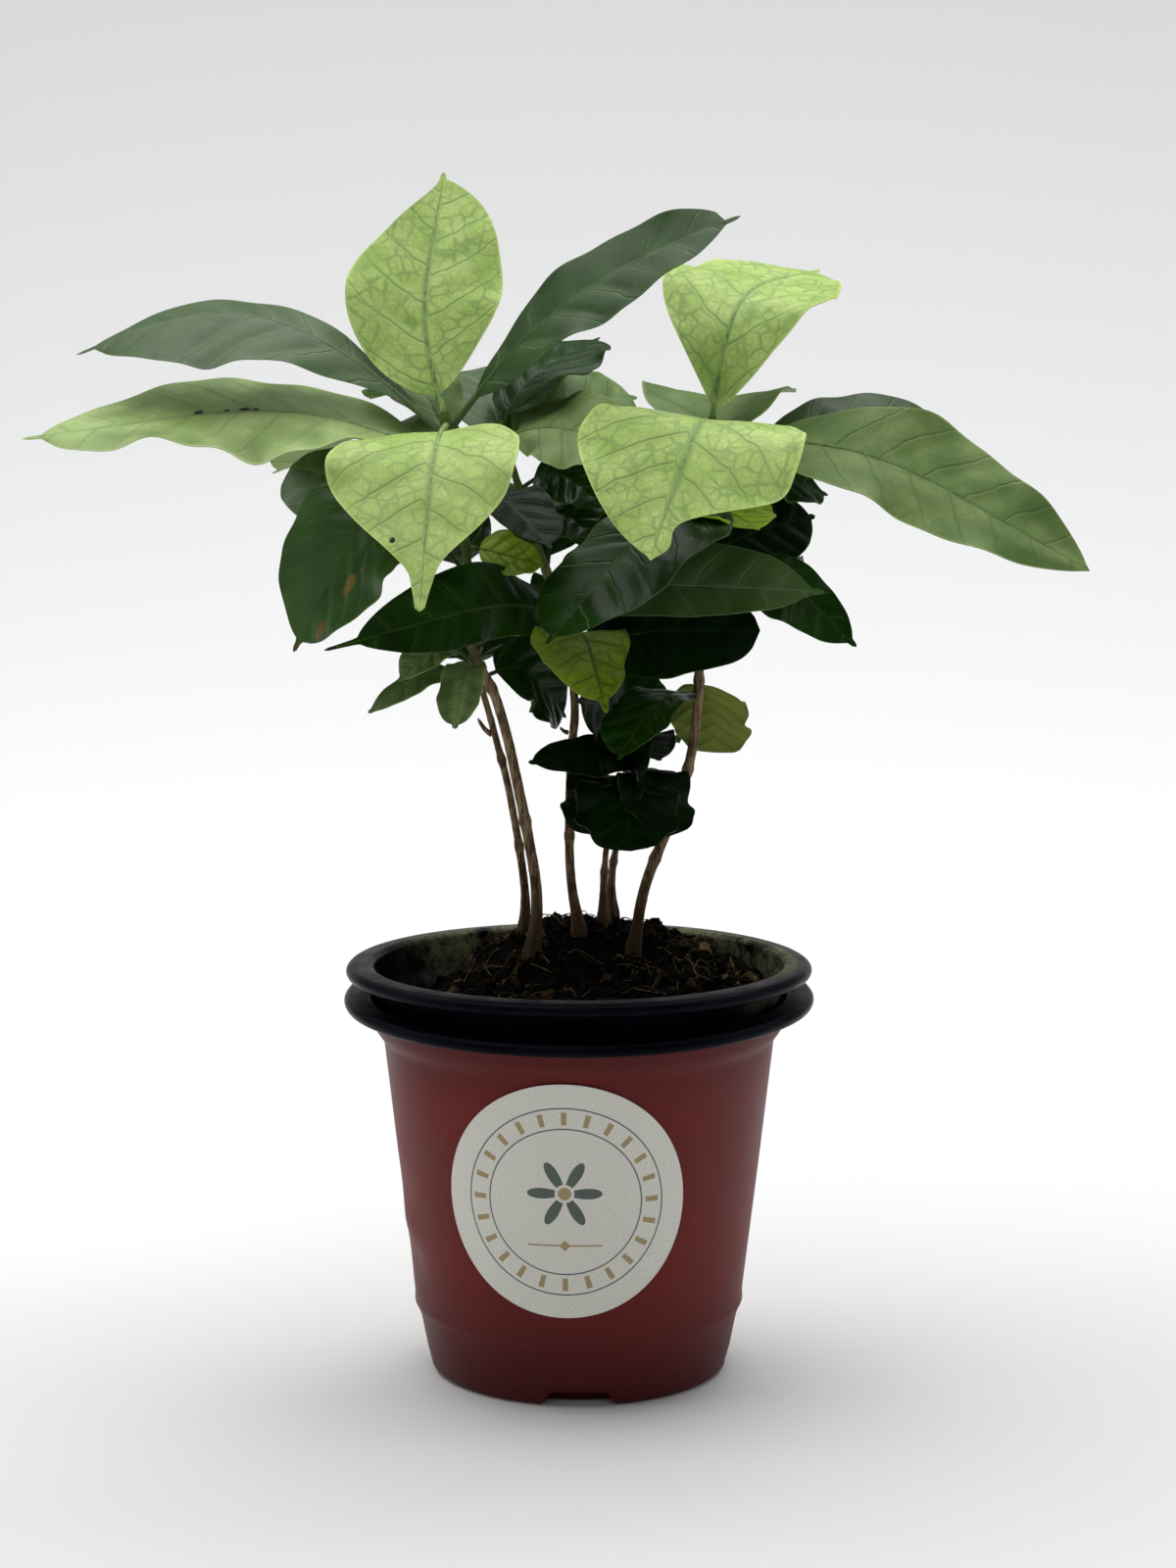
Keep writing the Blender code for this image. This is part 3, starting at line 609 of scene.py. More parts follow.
def vein_lines(look, kind, flat, across):
    """How far side veins, net and midrib stand out in colour and relief, and how far out they are."""
    side_strength, net_strength = COLOURING[kind].side, COLOURING[kind].net
    out = look.absolute(across[1])
    phase = look.plus(across[0], look.times(look.noise(flat, 8.0), 0.5))
    gap = look.math("PINGPONG", phase, 0.5)
    fade = look.ramp(out, 0.65, 1.0, 1.0, 0.2)
    line = look.ramp(gap, 0.008, 0.055, 1.0, 0.0)
    halo = look.ramp(gap, 0.0, 0.24, 0.5, 0.0)
    side = look.times(look.most(line, halo), fade)
    ragged = look.wobble(flat, 60.0, 0.012)
    net = look.ramp(look.cell_edges(ragged, 26.0), 0.0, 0.17, 1.0, 0.0)
    net = look.times(net, look.ramp(look.noise(flat, 14.0), 0.3, 0.6, 0.35, 1.0))
    fine = look.ramp(look.cell_edges(ragged, 80.0), 0.0, 0.2, 1.0, 0.0)
    midrib = look.ramp(out, 0.01, 0.09, 1.0, 0.0)
    lines = look.most(
        look.times(side, side_strength),
        look.times(net, net_strength),
        look.times(fine, net_strength * 0.45),
        look.times(midrib, side_strength),
    )
    relief = look.most(line, look.times(net, 0.16))
    return lines, relief, out


def marked(look, kind, colour):
    """The colour with the kind's holes and specks on it."""
    exact = look.uv("blade")
    ragged = look.wobble(exact, 180.0, 0.012)
    for (along, aside), radius, stain in MARKS.get(kind, []):
        away = look.length(look.vectors("SUBTRACT", ragged, (along / 100, aside / 100, 0.0)))
        cover = look.ramp(away, 0.007 * radius, 0.013 * radius, 1.0, 0.0)
        colour = look.mix(cover, colour, srgb(*stain))
    return colour


def blade_material(kind):
    """A leaf's upper side: mottled, with side veins and a net of finer ones."""
    tone = COLOURING[kind]
    look = Look(f"leaf_{kind}", tone.roughness, specular=tone.gloss)
    flat = look.wobble(look.uv("flat"), 22.0, 0.012)
    across = look.parts(look.uv("veins"))
    lines, relief, out = vein_lines(look, kind, flat, across)
    base = look.mix(look.ramp(look.noise(flat, 9.0, 4.0), 0.35, 0.7), tone.blade, tone.mottle)
    # painted shade and glow in patches toward the drooping margins
    if kind in SAG_SHADE_AND_GLOW_KINDS:
        sag = look.times(look.ramp(look.noise(flat, 3.2, 2.0), 0.42, 0.62), look.ramp(out, 0.1, 0.6))
        base = look.mix(look.times(sag, 0.65), base, SAG_SHADE_AND_GLOW_COLOUR)
    colour = look.mix(lines, base, tone.vein)
    edge = look.ramp(out, 0.955, 0.99)
    colour = look.mix(look.times(edge, 0.7), colour, tone.margin)
    colour = marked(look, kind, colour)
    grain = look.noise(look.uv("flat"), 160.0, 3.0)
    sheen = look.ramp(grain, 0.2, 0.8, tone.roughness - 0.05, tone.roughness + 0.1)
    height = look.less(look.times(grain, 0.25), relief)
    return look.finish(colour, sheen, height, 0.00022, 0.6)


def underside_material(kind):
    """A leaf's underside: paler and duller, with the veins standing out."""
    tone = COLOURING[kind]
    look = Look(f"leaf_{kind}_under", 0.6, specular=0.12)
    flat = look.wobble(look.uv("flat"), 22.0, 0.012)
    across = look.parts(look.uv("veins"))
    gap = look.math("PINGPONG", across[0], 0.5)
    side = look.ramp(gap, 0.015, 0.085, 1.0, 0.0)
    dull = look.mix(0.18, tone.blade, PALE_UNDERSIDE)
    base = look.mix(look.ramp(look.noise(flat, 12.0), 0.35, 0.7), dull, tone.blade)
    colour = look.mix(look.times(side, tone.side * 0.6), base, tone.vein)
    return look.finish(colour, None, side, 0.00025, 0.6)


def rib_material(kind):
    """Midribs and petioles."""
    tone = COLOURING[kind]
    look = Look(f"rib_{kind}", 0.45, specular=0.2)
    streaks = look.noise(look.stretched(look.place(), (900.0, 900.0, 300.0)), 1.0)
    between = look.mix(0.5, tone.vein, tone.blade)
    return look.finish(look.mix(look.ramp(streaks, 0.35, 0.65), tone.vein, between))


def bark_material():
    """Thin young bark: light brown with streaks and dark blotches, greener toward the top."""
    look = Look("young_bark", 0.75, specular=0.15)
    place = look.place()
    height = look.parts(place)[2]
    streaks = look.noise(look.stretched(place, (1.0, 1.0, 0.12)), 1600.0, 4.0)
    blotches = look.noise(place, 260.0, 3.0)
    brown = look.mix(look.ramp(streaks, 0.35, 0.65), srgb(92, 72, 50), srgb(160, 136, 106))
    brown = look.mix(look.ramp(blotches, 0.5, 0.65, 0.0, 0.7), brown, srgb(66, 44, 28))
    green = look.mix(streaks, srgb(74, 92, 42), srgb(116, 128, 72))
    rise = look.plus(height, look.times(blotches, 0.03))
    colour = look.mix(look.ramp(rise, 0.172, 0.215), brown, green)
    damp = look.mix(look.ramp(height, 0.098, 0.122), srgb(74, 58, 36), colour)
    relief = look.plus(streaks, look.times(blotches, 0.5))
    return look.finish(damp, None, relief, 0.0002, 0.8)


def red_plastic():
    """Thin moulded plastic, dull and a little scuffed, with shade painted at the foot and under the lip.
    """
    look = Look("red_plastic", 0.42, specular=0.2)
    place = look.place()
    clouds = look.noise(place, 26.0, 4.0)
    grain = look.noise(place, 1500.0, 2.0)
    colour = look.mix(look.ramp(clouds, 0.3, 0.75), srgb(100, 22, 20), srgb(112, 28, 25))
    dust = look.ramp(look.noise(place, 90.0, 6.0, 0.7), 0.56, 0.8, 0.0, 0.16)
    colour = look.mix(dust, colour, srgb(140, 88, 76))
    height_up = look.parts(place)[2]
    # painted shade: a darkening up from the foot for the shade next to the floor, and a band under the
    # lip for the lip's shadow
    foot = look.ramp(height_up, 0.001, 0.036, 0.85, 0.0)
    painted_lip_shadow = look.ramp(height_up, 0.068, 0.086, 0.0, 0.6)
    colour = look.mix(look.most(foot, painted_lip_shadow), colour, srgb(66, 8, 10))
    height = look.plus(look.times(clouds, 2.0), look.times(grain, 0.25))
    return look.finish(colour, look.ramp(clouds, 0.2, 0.8, 0.42, 0.56), height, 0.0003, 0.5)


def black_plastic(name, dusty):
    """The lip and the inside; a dusty one has a film of pale dust at the back and inside."""
    look = Look(name, 0.3, specular=0.05)
    look.shader.inputs["Specular Tint"].default_value = (0.55, 0.7, 1.0, 1.0)
    place = look.place()
    grain = look.noise(place, 1200.0, 2.0)
    marks = look.noise(place, 120.0, 6.0, 0.7)
    colour = look.mix(look.ramp(marks, 0.4, 0.7), srgb(3, 4, 8), srgb(8, 11, 18))
    roughness = look.ramp(marks, 0.3, 0.7, 0.28, 0.42)
    if dusty:
        axes = look.parts(place)
        radius = look.length(look.stretched(place, (1.0, 1.0, 0.0)))
        inward = look.ramp(radius, 0.0505, 0.0525, 1.0, 0.0)
        back = look.ramp(look.plus(axes[1], look.times(axes[0], 0.6)), -0.015, 0.03)
        high = look.ramp(axes[2], 0.088, 0.094, 0.5, 1.0)
        patches = look.ramp(look.noise(place, 70.0, 8.0, 0.75), 0.38, 0.52)
        spots = look.ramp(look.noise(place, 500.0, 4.0, 0.7), 0.36, 0.56, 0.3, 1.0)
        place_of_dust = look.times(look.times(back, inward), high)
        cover = look.times(place_of_dust, look.times(patches, spots))
        colour = look.mix(look.times(cover, 0.9), colour, srgb(134, 132, 104))
        roughness = look.plus(roughness, look.times(cover, 0.35))
    return look.finish(colour, roughness, look.plus(grain, marks), 0.0002, 0.35)


def label_material():
    """Matt paper with a plain print: a ring of ticks round a six-petalled rosette, over a rule."""
    look = Look("label_paper", 0.65)
    flat = look.uv("print")
    x, y, _ = look.parts(flat)
    radius = look.length(flat)
    turn = look.math("ARCTAN2", y, x)
    speckle = look.noise(flat, 2.2, 3.0, 0.7)
    paper = look.mix(look.ramp(speckle, 0.3, 0.7), srgb(237, 236, 226), srgb(216, 215, 205))

    def line(value, middle, half, soft=0.05):
        """1 where value is within half of middle."""
        away = look.absolute(look.less(value, middle))
        return look.ramp(away, half, half + soft, 1.0, 0.0)

    ring = look.most(*[line(radius, at, PRINT_LINE) for at in PRINT_RINGS])
    tick_turn = look.math("PINGPONG", turn, math.pi / TICK_COUNT)
    tick_side = look.ramp(tick_turn, 0.028, 0.034, 1.0, 0.0)
    tick = look.times(line(radius, TICK_RADIUS, TICK_HALF_LENGTH), tick_side)
    up = look.less(y, ROSETTE_RISE)
    near = look.length(look.node("CombineXYZ", {0: x, 1: up}).outputs[0])
    petal_turn = look.times(look.math("ARCTAN2", up, x), PETALS / 2)
    lobes = look.absolute(look.math("COSINE", petal_turn))
    reach = look.times(look.math("POWER", lobes, 1.6), PETAL_LENGTH)
    petals = look.ramp(look.less(reach, near), 0.0, 0.06)
    core = look.ramp(near, CORE_RADIUS, CORE_RADIUS + 0.06, 1.0, 0.0)
    petals = look.times(petals, look.ramp(near, PETAL_START, PETAL_START + 0.06))
    ends = look.ramp(look.absolute(x), RULE_HALF_LENGTH, RULE_HALF_LENGTH + 0.1, 1.0, 0.0)
    rule = look.times(line(y, RULE_HEIGHT, 0.18), ends)
    diamond = look.plus(look.absolute(x), look.absolute(look.less(y, RULE_HEIGHT)))
    diamond = look.ramp(diamond, DIAMOND_HALF, DIAMOND_HALF + 0.06, 1.0, 0.0)
    green = look.most(ring, petals)
    gold = look.most(tick, core, rule, diamond)
    colour = look.mix(look.times(green, 0.9), paper, srgb(42, 66, 60))
    colour = look.mix(look.times(gold, 0.85), colour, srgb(158, 132, 66))
    return look.finish(colour, None, look.noise(flat, 6.0, 3.0), 0.00008, 0.5)


def soil_material():
    """Black damp mix with browner clods."""
    look = Look("potting_mix", 0.95, specular=0.05)
    place = look.place()
    crumbs = look.noise(place, 420.0, 6.0, 0.7)
    clods = look.noise(place, 90.0, 4.0)
    colour = look.mix(look.ramp(crumbs, 0.35, 0.7), srgb(5, 4, 3), srgb(20, 16, 12))
    colour = look.mix(look.ramp(clods, 0.6, 0.8, 0.0, 0.4), colour, srgb(48, 36, 26))
    return look.finish(colour, None, crumbs, 0.0012, 1.0)


def bit_material(name, dark, light):
    """Chips, crumbs and fibres in the mix, between two display colours."""
    look = Look(name, 0.85, specular=0.08)
    place = look.place()
    grain = look.noise(place, 900.0, 3.0)
    colour = look.mix(look.ramp(grain, 0.3, 0.7), srgb(*dark), srgb(*light))
    return look.finish(colour, None, grain, 0.0002, 0.7)


# Pots


def wall_radius(height):
    """Outside radius of the plain wall."""
    part = (height - BULGE_HEIGHT) / (SHOULDER_HEIGHT - BULGE_HEIGHT)
    return BULGE_RADIUS + part * (SHOULDER_RADIUS - BULGE_RADIUS)


def rounded(section, radius, steps=4):
    """The open line with its inner corners rounded to about this radius."""
    points = [section[0]]
    for before, corner, after in zip(section, section[1:], section[2:]):
        before, corner, after = (np.array(point, float) for point in (before, corner, after))
        cut = min(radius, 0.45 * np.linalg.norm(before - corner), 0.45 * np.linalg.norm(after - corner))
        start = corner + unit(before - corner) * cut
        end = corner + unit(after - corner) * cut
        for part in np.linspace(0, 1, steps + 1):
            bend = corner * 2 * part * (1 - part)
            points.append(start * (1 - part) ** 2 + bend + end * part**2)
    points.append(section[-1])
    return points


def finely_cut(section, step):
    """The line with points added so that none are further apart than step."""
    points = [np.array(section[0], float)]
    for start, end in zip(section, section[1:]):
        start, end = np.array(start, float), np.array(end, float)
        count = max(1, math.ceil(np.linalg.norm(end - start) / step))
        points += [start + (end - start) * part / count for part in range(1, count + 1)]
    return np.array(points)


def pot_section(squeeze):
    """Half section, from the middle of the underside up the outside, over the lip and down inside."""
    wall = [
        (STEP_RADIUS, STEP_HEIGHT),
        (BULGE_RADIUS, BULGE_HEIGHT),
        (SHOULDER_RADIUS, SHOULDER_HEIGHT),
        (COLLAR_RADIUS, COLLAR_HEIGHT),
    ]
    foot = [(0.0, 0.0), (NOTCH_FROM_RADIUS - 2, 0.0), (FOOT_RADIUS - 1.4, 0.0), (FOOT_RADIUS, 1.2)]
    lip = [
        (LIP_INNER_RADIUS, LIP_UNDERSIDE - 0.4),
        (LIP_RADIUS - 0.6, LIP_UNDERSIDE),
        (LIP_RADIUS, LIP_TOP - 1.6),
        (LIP_RADIUS - 1.2, LIP_TOP - 0.3),
        (LIP_INNER_RADIUS + 0.6, LIP_TOP),
        (LIP_INNER_RADIUS - WALL, LIP_TOP - 0.8),
        (LIP_INNER_RADIUS - WALL, LIP_UNDERSIDE),
    ]
    floor = [(FOOT_RADIUS - WALL, FLOOR + 1.0), (FOOT_RADIUS - 1.4 - WALL, FLOOR),
             (NOTCH_FROM_RADIUS - 2, FLOOR), (0.0, FLOOR)]
    inside = [(radius - WALL, height) for radius, height in reversed(wall)]
    section = [(radius - squeeze if radius else 0.0, height)
               for radius, height in foot + wall + lip + inside + floor]
    return finely_cut(rounded(section, 1.1), 2.0)


def black_bands(section, from_height):
    """Which bands of the section are black: from this height up, over the lip and down inside."""
    middle = (section[1:] + section[:-1]) / 2
    top = np.argmax(section[:, 1])
    return (np.arange(len(middle)) >= top) | (middle[:, 1] > from_height)


def wall_warp(turn, height):
    """How far the thin wall is out of round; the foot stands true."""
    warp = 0.25 * np.sin(2 * turn + 0.6) + 0.12 * np.sin(5 * turn + 1.9)
    return warp * smooth_step(height, *WARP_RISE)


def pot_points(section, rise, tilt):
    """The turned points of one pot, with the drain notches, a slight warp and a dent at the left."""
    turn = turns_round(POT_SIDES)
    radius = section[:, 0][:, None]
    height = section[:, 1][:, None] + 0 * turn
    dent_turn = np.angle(np.exp(1j * (turn - math.radians(DENT_TURN))))
    dent = np.exp(-(dent_turn / 0.16) ** 2) * np.sin((height - 24) * 0.33)
    dent = dent * np.exp(-((height - 33) / 14) ** 2)
    on_wall = radius > NOTCH_FROM_RADIUS
    ridge = BULGE_RIDGE * np.exp(-(((height - BULGE_HEIGHT) / 1.1) ** 2)) * on_wall
    radius = radius + ridge + (wall_warp(turn, height) - DENT_DEPTH * dent) * on_wall
    notch_turn = (turn + math.pi / 2 + math.pi / NOTCHES) % (math.tau / NOTCHES) - math.pi / NOTCHES
    across = np.abs(notch_turn) * radius
    arch = NOTCH_HEIGHT * smooth_step(NOTCH_HALF_WIDTH - across, 0.0, 3.0)
    arch = arch * smooth_step(radius, NOTCH_FROM_RADIUS - 1, NOTCH_FROM_RADIUS + 1)
    arched = np.minimum(arch + (height > FLOOR - 0.1) * NOTCH_SHELL, FLOOR_HIGHEST)
    height = np.where(height < NOTCH_HEIGHT + FLOOR, np.maximum(height, arched), height)
    points = pack(radius * np.cos(turn), radius * np.sin(turn), height)
    if tilt:
        lean = math.tan(math.radians(RIM_TILT)) * smooth_step(height, TILT_FROM, TILT_FROM + 25)
        points[..., 2] -= points[..., 1] * lean
    points[..., 2] += rise
    return points


def make_pot(name, node, slot, inner):
    """One nursery pot; the inner one is a little slimmer, stands higher and has a tilted, dusty rim."""
    red = red_plastic()
    black = black_plastic("black_plastic_dusty" if inner else "black_plastic", inner)
    section = pot_section(NEST_SQUEEZE if inner else 0.0)
    points = pot_points(section, NEST_RISE if inner else 0.0, inner)
    # the first and last points of the section are one point each on the axis
    rings = points[1:-1]
    quads = grid_faces(len(rings), POT_SIDES, closed=True)[:, ::-1]
    # the outer pot is black from its lip up; the inner pot's red wall is also painted black from below
    # its collar, as painted shade in the gap between the two rims
    black_and_shade_from = COLLAR_HEIGHT - 3 if inner else LIP_UNDERSIDE - 0.6
    is_black = np.repeat(black_bands(section, black_and_shade_from)[1:-1], POT_SIDES)
    total = len(rings) * POT_SIDES
    piece = Piece(name)
    piece.add(rings, quads[~is_black])
    piece.add_faces(quads[is_black], 1)
    piece.add(points[[0, -1], 0], np.zeros((0, 3), int))
    piece.add_faces(fan(total, 0, POT_SIDES, flip=True))
    piece.add_faces(fan(total + 1, total - POT_SIDES, POT_SIDES), 1)
    return piece.build([red, black], slot, node, angle=50)


def make_label(material):
    """A paper disc on the wall, its upper face printed."""
    across, up = LABEL_CENTRE
    rings = LABEL_RADIUS * np.linspace(0.02, 1, LABEL_RINGS)[:, None]
    turn = turns_round(LABEL_SIDES)
    x, y = rings * np.cos(turn), rings * np.sin(turn)
    height = up + y
    angle = across / wall_radius(up) + x / wall_radius(height) - math.pi / 2

    def laid(lift):
        radius = wall_radius(height) + lift + wall_warp(angle, height)
        return pack(radius * np.cos(angle), radius * np.sin(angle), height)

    quads = grid_faces(LABEL_RINGS, LABEL_SIDES, closed=True)
    print_map = pack(x, y).reshape(-1, 2)
    total = LABEL_RINGS * LABEL_SIDES
    around = np.arange(LABEL_SIDES)
    edge = total - LABEL_SIDES + around
    following = total - LABEL_SIDES + (around + 1) % LABEL_SIDES
    rim = pack(edge, edge + total, following + total, following)
    piece = Piece("label_disc", ("print",))
    piece.add(laid(LABEL_LIFT + LABEL_THICKNESS), quads, 0, {"print": print_map[quads]})
    piece.add(laid(LABEL_LIFT), quads[:, ::-1], 0, {"print": print_map[quads[:, ::-1]]})
    for faces in (rim, around[None, ::-1], around[None] + total):
        piece.add_faces(faces, 0, {"print": print_map[faces % total]})
    return piece.build([material], "label_paper", "label", angle=40)


# Potting mix


def soil_top(x, y):
    """Height of the mix."""
    across = (x - SOIL_MOUND_CENTRE[0]) / SOIL_MOUND_SPREAD[0]
    along = (y - SOIL_MOUND_CENTRE[1]) / SOIL_MOUND_SPREAD[1]
    mound = SOIL_MOUND * np.exp(-(across * across + along * along) / 2)
    dip = SOIL_LEFT_DIP * smooth_step(-x, 12, 36)
    lumps = 1.5 * value_noise(x / 6 + 20, y / 6 + 20, 1)
    lumps = lumps + 1.1 * value_noise(x / 2.8 + 20, y / 2.8 + 20, 2)
    crumbs = 0.45 * value_noise(x / 1.1 + 90, y / 1.1 + 90, 3)
    return SOIL_LEVEL - 0.6 + mound - dip + lumps + crumbs


def make_soil(material):
    """The lumpy top of the mix, and a skirt that ends below it, inside the inner pot."""
    radius = np.linspace(0.4, SOIL_RADIUS, SOIL_RINGS)[:, None]
    turn = turns_round(SOIL_SIDES)
    x, y = radius * np.cos(turn), radius * np.sin(turn)
    top = pack(x, y, soil_top(x, y))
    skirt = top[-1:].copy()
    skirt[..., :2] *= (SOIL_RADIUS - 2.5) / SOIL_RADIUS
    skirt[..., 2] = SOIL_BED
    piece = Piece("soil_bed")
    piece.add(np.concatenate([top, skirt]), grid_faces(SOIL_RINGS + 1, SOIL_SIDES, closed=True))
    around = np.arange(SOIL_SIDES)
    piece.add_faces(around[None, ::-1])
    piece.add_faces(SOIL_RINGS * SOIL_SIDES + around[None])
    return piece.build([material], "potting_mix", "soil", angle=180)


def lump_shape():
    """Points and faces of a coarse ball."""
    body = bmesh.new()
    bmesh.ops.create_icosphere(body, subdivisions=2, radius=1.0)
    points = np.array([vertex.co[:] for vertex in body.verts])
    faces = np.array([[vertex.index for vertex in face.verts] for face in body.faces])
    body.free()
    return points, faces


def turned_about(random, count):
    """Random turns, as matrices."""
    quaternion = unit(random.normal(size=(count, 4)))
    w, x, y, z = quaternion.T
    rows = [
        1 - 2 * (y * y + z * z), 2 * (x * y - z * w), 2 * (x * z + y * w),
        2 * (x * y + z * w), 1 - 2 * (x * x + z * z), 2 * (y * z - x * w),
        2 * (x * z - y * w), 2 * (y * z + x * w), 1 - 2 * (x * x + y * y),
    ]
    return np.stack(rows, axis=-1).reshape(-1, 3, 3)


def clear_of_stems(x, y, gap):
    """Which places are further than gap from every stem's foot."""
    clear = np.ones(x.shape, bool)
    for line, _ in STEMS.values():
        clear &= np.hypot(x - line[0][0], y - line[0][1]) > gap
    return clear


def scatter(random, count, reach):
    """Random places on the mix."""
    radius = reach * np.sqrt(random.uniform(0, 1, count))
    turn = random.uniform(0, math.tau, count)
    return radius * np.cos(turn), radius * np.sin(turn)


def make_bits(name, seed, count, sizes, flatness, materials, inner=0.0):
    """Crumbs or chips strewn half sunk; inner is how far from the middle line most of them start."""
    random = np.random.default_rng(seed)
    shape, faces = lump_shape()
    x, y = scatter(random, count, SOIL_RADIUS - 2.0)
    away = np.abs(x - SOIL_MIDDLE) > inner * random.uniform(0, 1.3, count)
    keep = clear_of_stems(x, y, 2.2) & away
    x, y = x[keep], y[keep]
    size = random.uniform(*sizes, len(x)) * random.uniform(0.5, 1.0, len(x))
    turns = turned_about(random, len(x))
    piece = Piece(name)
    for index in range(len(x)):
        rough = 1 + 0.28 * random.normal(size=(len(shape), 1)).clip(-1.5, 1.5)
        stretch = random.uniform(0.6, 1.3, 3) * (1.0, 1.0, flatness)
        points = (shape * rough * stretch * size[index]) @ turns[index].T
        lift = 0.25 * size[index] * flatness
        points += (x[index], y[index], soil_top(x[index], y[index]) + lift)
        piece.add(points, faces, index % len(materials))
    return piece.build(materials, "potting_mix", angle=30)


def make_fibres(name, seed, count, materials, inner=0.0):
    """Thin root hairs and coir strands lying on the mix."""
    random = np.random.default_rng(seed)
    x, y = scatter(random, count, SOIL_RADIUS - 5.0)
    away = np.abs(x - SOIL_MIDDLE) >= inner * random.uniform(0, 1.3, count)
    part = np.linspace(0, 1, FIBRE_STATIONS)
    piece = Piece(name)
    for index in range(count):
        length = random.uniform(4, 15)
        heading = random.uniform(0, math.tau)
        curl = random.uniform(-0.16, 0.16)
        turns = heading + curl * np.linspace(0, length, FIBRE_STATIONS) * random.uniform(0.4, 1.4)
        stride = length / FIBRE_STATIONS
        path_x = x[index] + np.cumsum(np.cos(turns)) * stride
        path_y = y[index] + np.cumsum(np.sin(turns)) * stride
        if np.hypot(path_x, path_y).max() > SOIL_RADIUS - 0.8 or not away[index]:
            continue
        lift = 0.15 + random.uniform(0.2, 1.6) * np.sin(math.pi * part) ** 2
        ground = soil_top(path_x, path_y)
        line = pack(path_x, path_y, ground * 0.6 + np.mean(ground) * 0.4 + lift)
        ahead = unit(np.gradient(line, axis=0))
        right = unit(np.cross(ahead, (0.0, 0.0, 1.0)))
        radius = random.uniform(0.1, 0.24) * (1 - 0.6 * part)
        piece.add_tube(line, right, np.cross(right, ahead), radius, 5, index % len(materials))
    return piece.build(materials, "potting_mix", angle=60)


def make_strewn():
    """What lies loose on the mix."""
    dark, brown, tan = (bit_material(name, *tones) for name, tones in BIT_COLOURS.items())
    make_bits("soil_crumbs", seed=21, count=900, sizes=(0.5, 1.7), flatness=0.9, materials=[dark])
    make_bits("soil_chips", seed=22, count=420, sizes=(0.8, 2.6), flatness=0.25,
              materials=[brown, dark, brown, tan], inner=16.0)
    make_fibres("soil_fibres", seed=23, count=420, materials=[brown, tan, dark], inner=11.0)
    make_fibres("soil_roots", seed=24, count=200, materials=[dark])


# Stems


def spline_points(line, positions):
    """A Catmull-Rom curve through the line's points; a position counts points from the first."""
    line = np.array(line, float)
    before = np.concatenate([[2 * line[0] - line[1]], line, [2 * line[-1] - line[-2]]])
    index = np.minimum(positions.astype(int), len(line) - 2)
    part = (positions - index)[:, None]
    p0, p1, p2, p3 = (before[index + shift] for shift in range(4))
    return 0.5 * (2 * p1 + (p2 - p0) * part + (2 * p0 - 5 * p1 + 4 * p2 - p3) * part**2
                  + (3 * p1 - p0 - 3 * p2 + p3) * part**3)


def stem_axis(stem, heights):
    """Points at these heights on a stem's centre line."""
    line = STEMS[stem][0]
    positions = np.linspace(0, len(line) - 1, 600)
    points = spline_points(line, positions)
    return pack(*[np.interp(heights, points[:, 2], points[:, axis]) for axis in range(3)])


def stem_radius(stem, heights):
    """Radius at these heights: an even taper, and a flare at the foot."""
    line, (foot_radius, top_radius) = STEMS[stem]
    above = np.maximum(heights - line[0][2], 0)
    part = above / (line[-1][2] - line[0][2])
    return foot_radius + (top_radius - foot_radius) * part + FOOT_FLARE * np.exp(-above / FLARE_HEIGHT)


def node_heights(stem):
    """Where a stem swells: under its leaves, and at the scars of fallen ones."""
    heights = []
    for holder, _, leaves in FOLIAGE.values():
        if holder == stem:
            heights += [leaf["node"] for leaf in leaves]
    foot = STEMS[stem][0][0][2]
    lowest = min(heights)
    return heights + [foot + (lowest - foot) * part for part in (0.36, 0.71)]


def make_limb(name, node, stem, low, high, material):
    """A stretch of stem with its bark's relief."""
    seed = sorted(STEMS).index(stem)
    line = STEMS[stem][0]
    count = max(6, int((high - low) / STEM_STATION))
    heights = np.linspace(low, high, count + 1)
    points = stem_axis(stem, heights)
    below = heights < line[0][2]
    points[below, 2] = heights[below]
    ahead = unit(np.gradient(points, axis=0))
    right = unit(np.cross((0.0, 1.0, 0.0), ahead))
    up = np.cross(ahead, right)
    turn = turns_round(STEM_SIDES)
    tall = heights[:, None]
    ridges = 0.05 * np.sin(3 * turn + 0.16 * tall + seed)
    ridges = ridges + 0.035 * np.sin(7 * turn - 0.4 * tall + 2 * seed)
    rough = 0.05 * value_noise(turn * 3.2 + 9, tall * 0.9 + 5 * seed, 11)
    swell = sum(0.3 * np.exp(-((tall - height) / 1.1) ** 2) for height in node_heights(stem))
    root = 0.45 * np.exp(-np.maximum(tall - line[0][2], 0) / 5.0) * np.sin(4 * turn + seed)
    radii = stem_radius(stem, heights)[:, None] + ridges + rough + swell.clip(0, 0.45) + root
    piece = Piece(name)
    piece.add_tube(points, right, up, radii, STEM_SIDES)
    return piece.build([material], "young_bark", node, angle=80)


def make_stems(bark):
    """The bare stems, and the stretches of stem inside the masses of leaves."""
    for stem, (line, _) in STEMS.items():
        low = min(heights[0] for holder, heights, _ in FOLIAGE.values() if holder == stem)
        make_limb(f"bark_{stem}", f"stem_{stem}", stem, line[0][2] - 1.5, low, bark)
    for name, (stem, (low, high), _) in FOLIAGE.items():
        make_limb(f"shoot_{name}", f"foliage_{name}", stem, low, high + 1.2, bark)


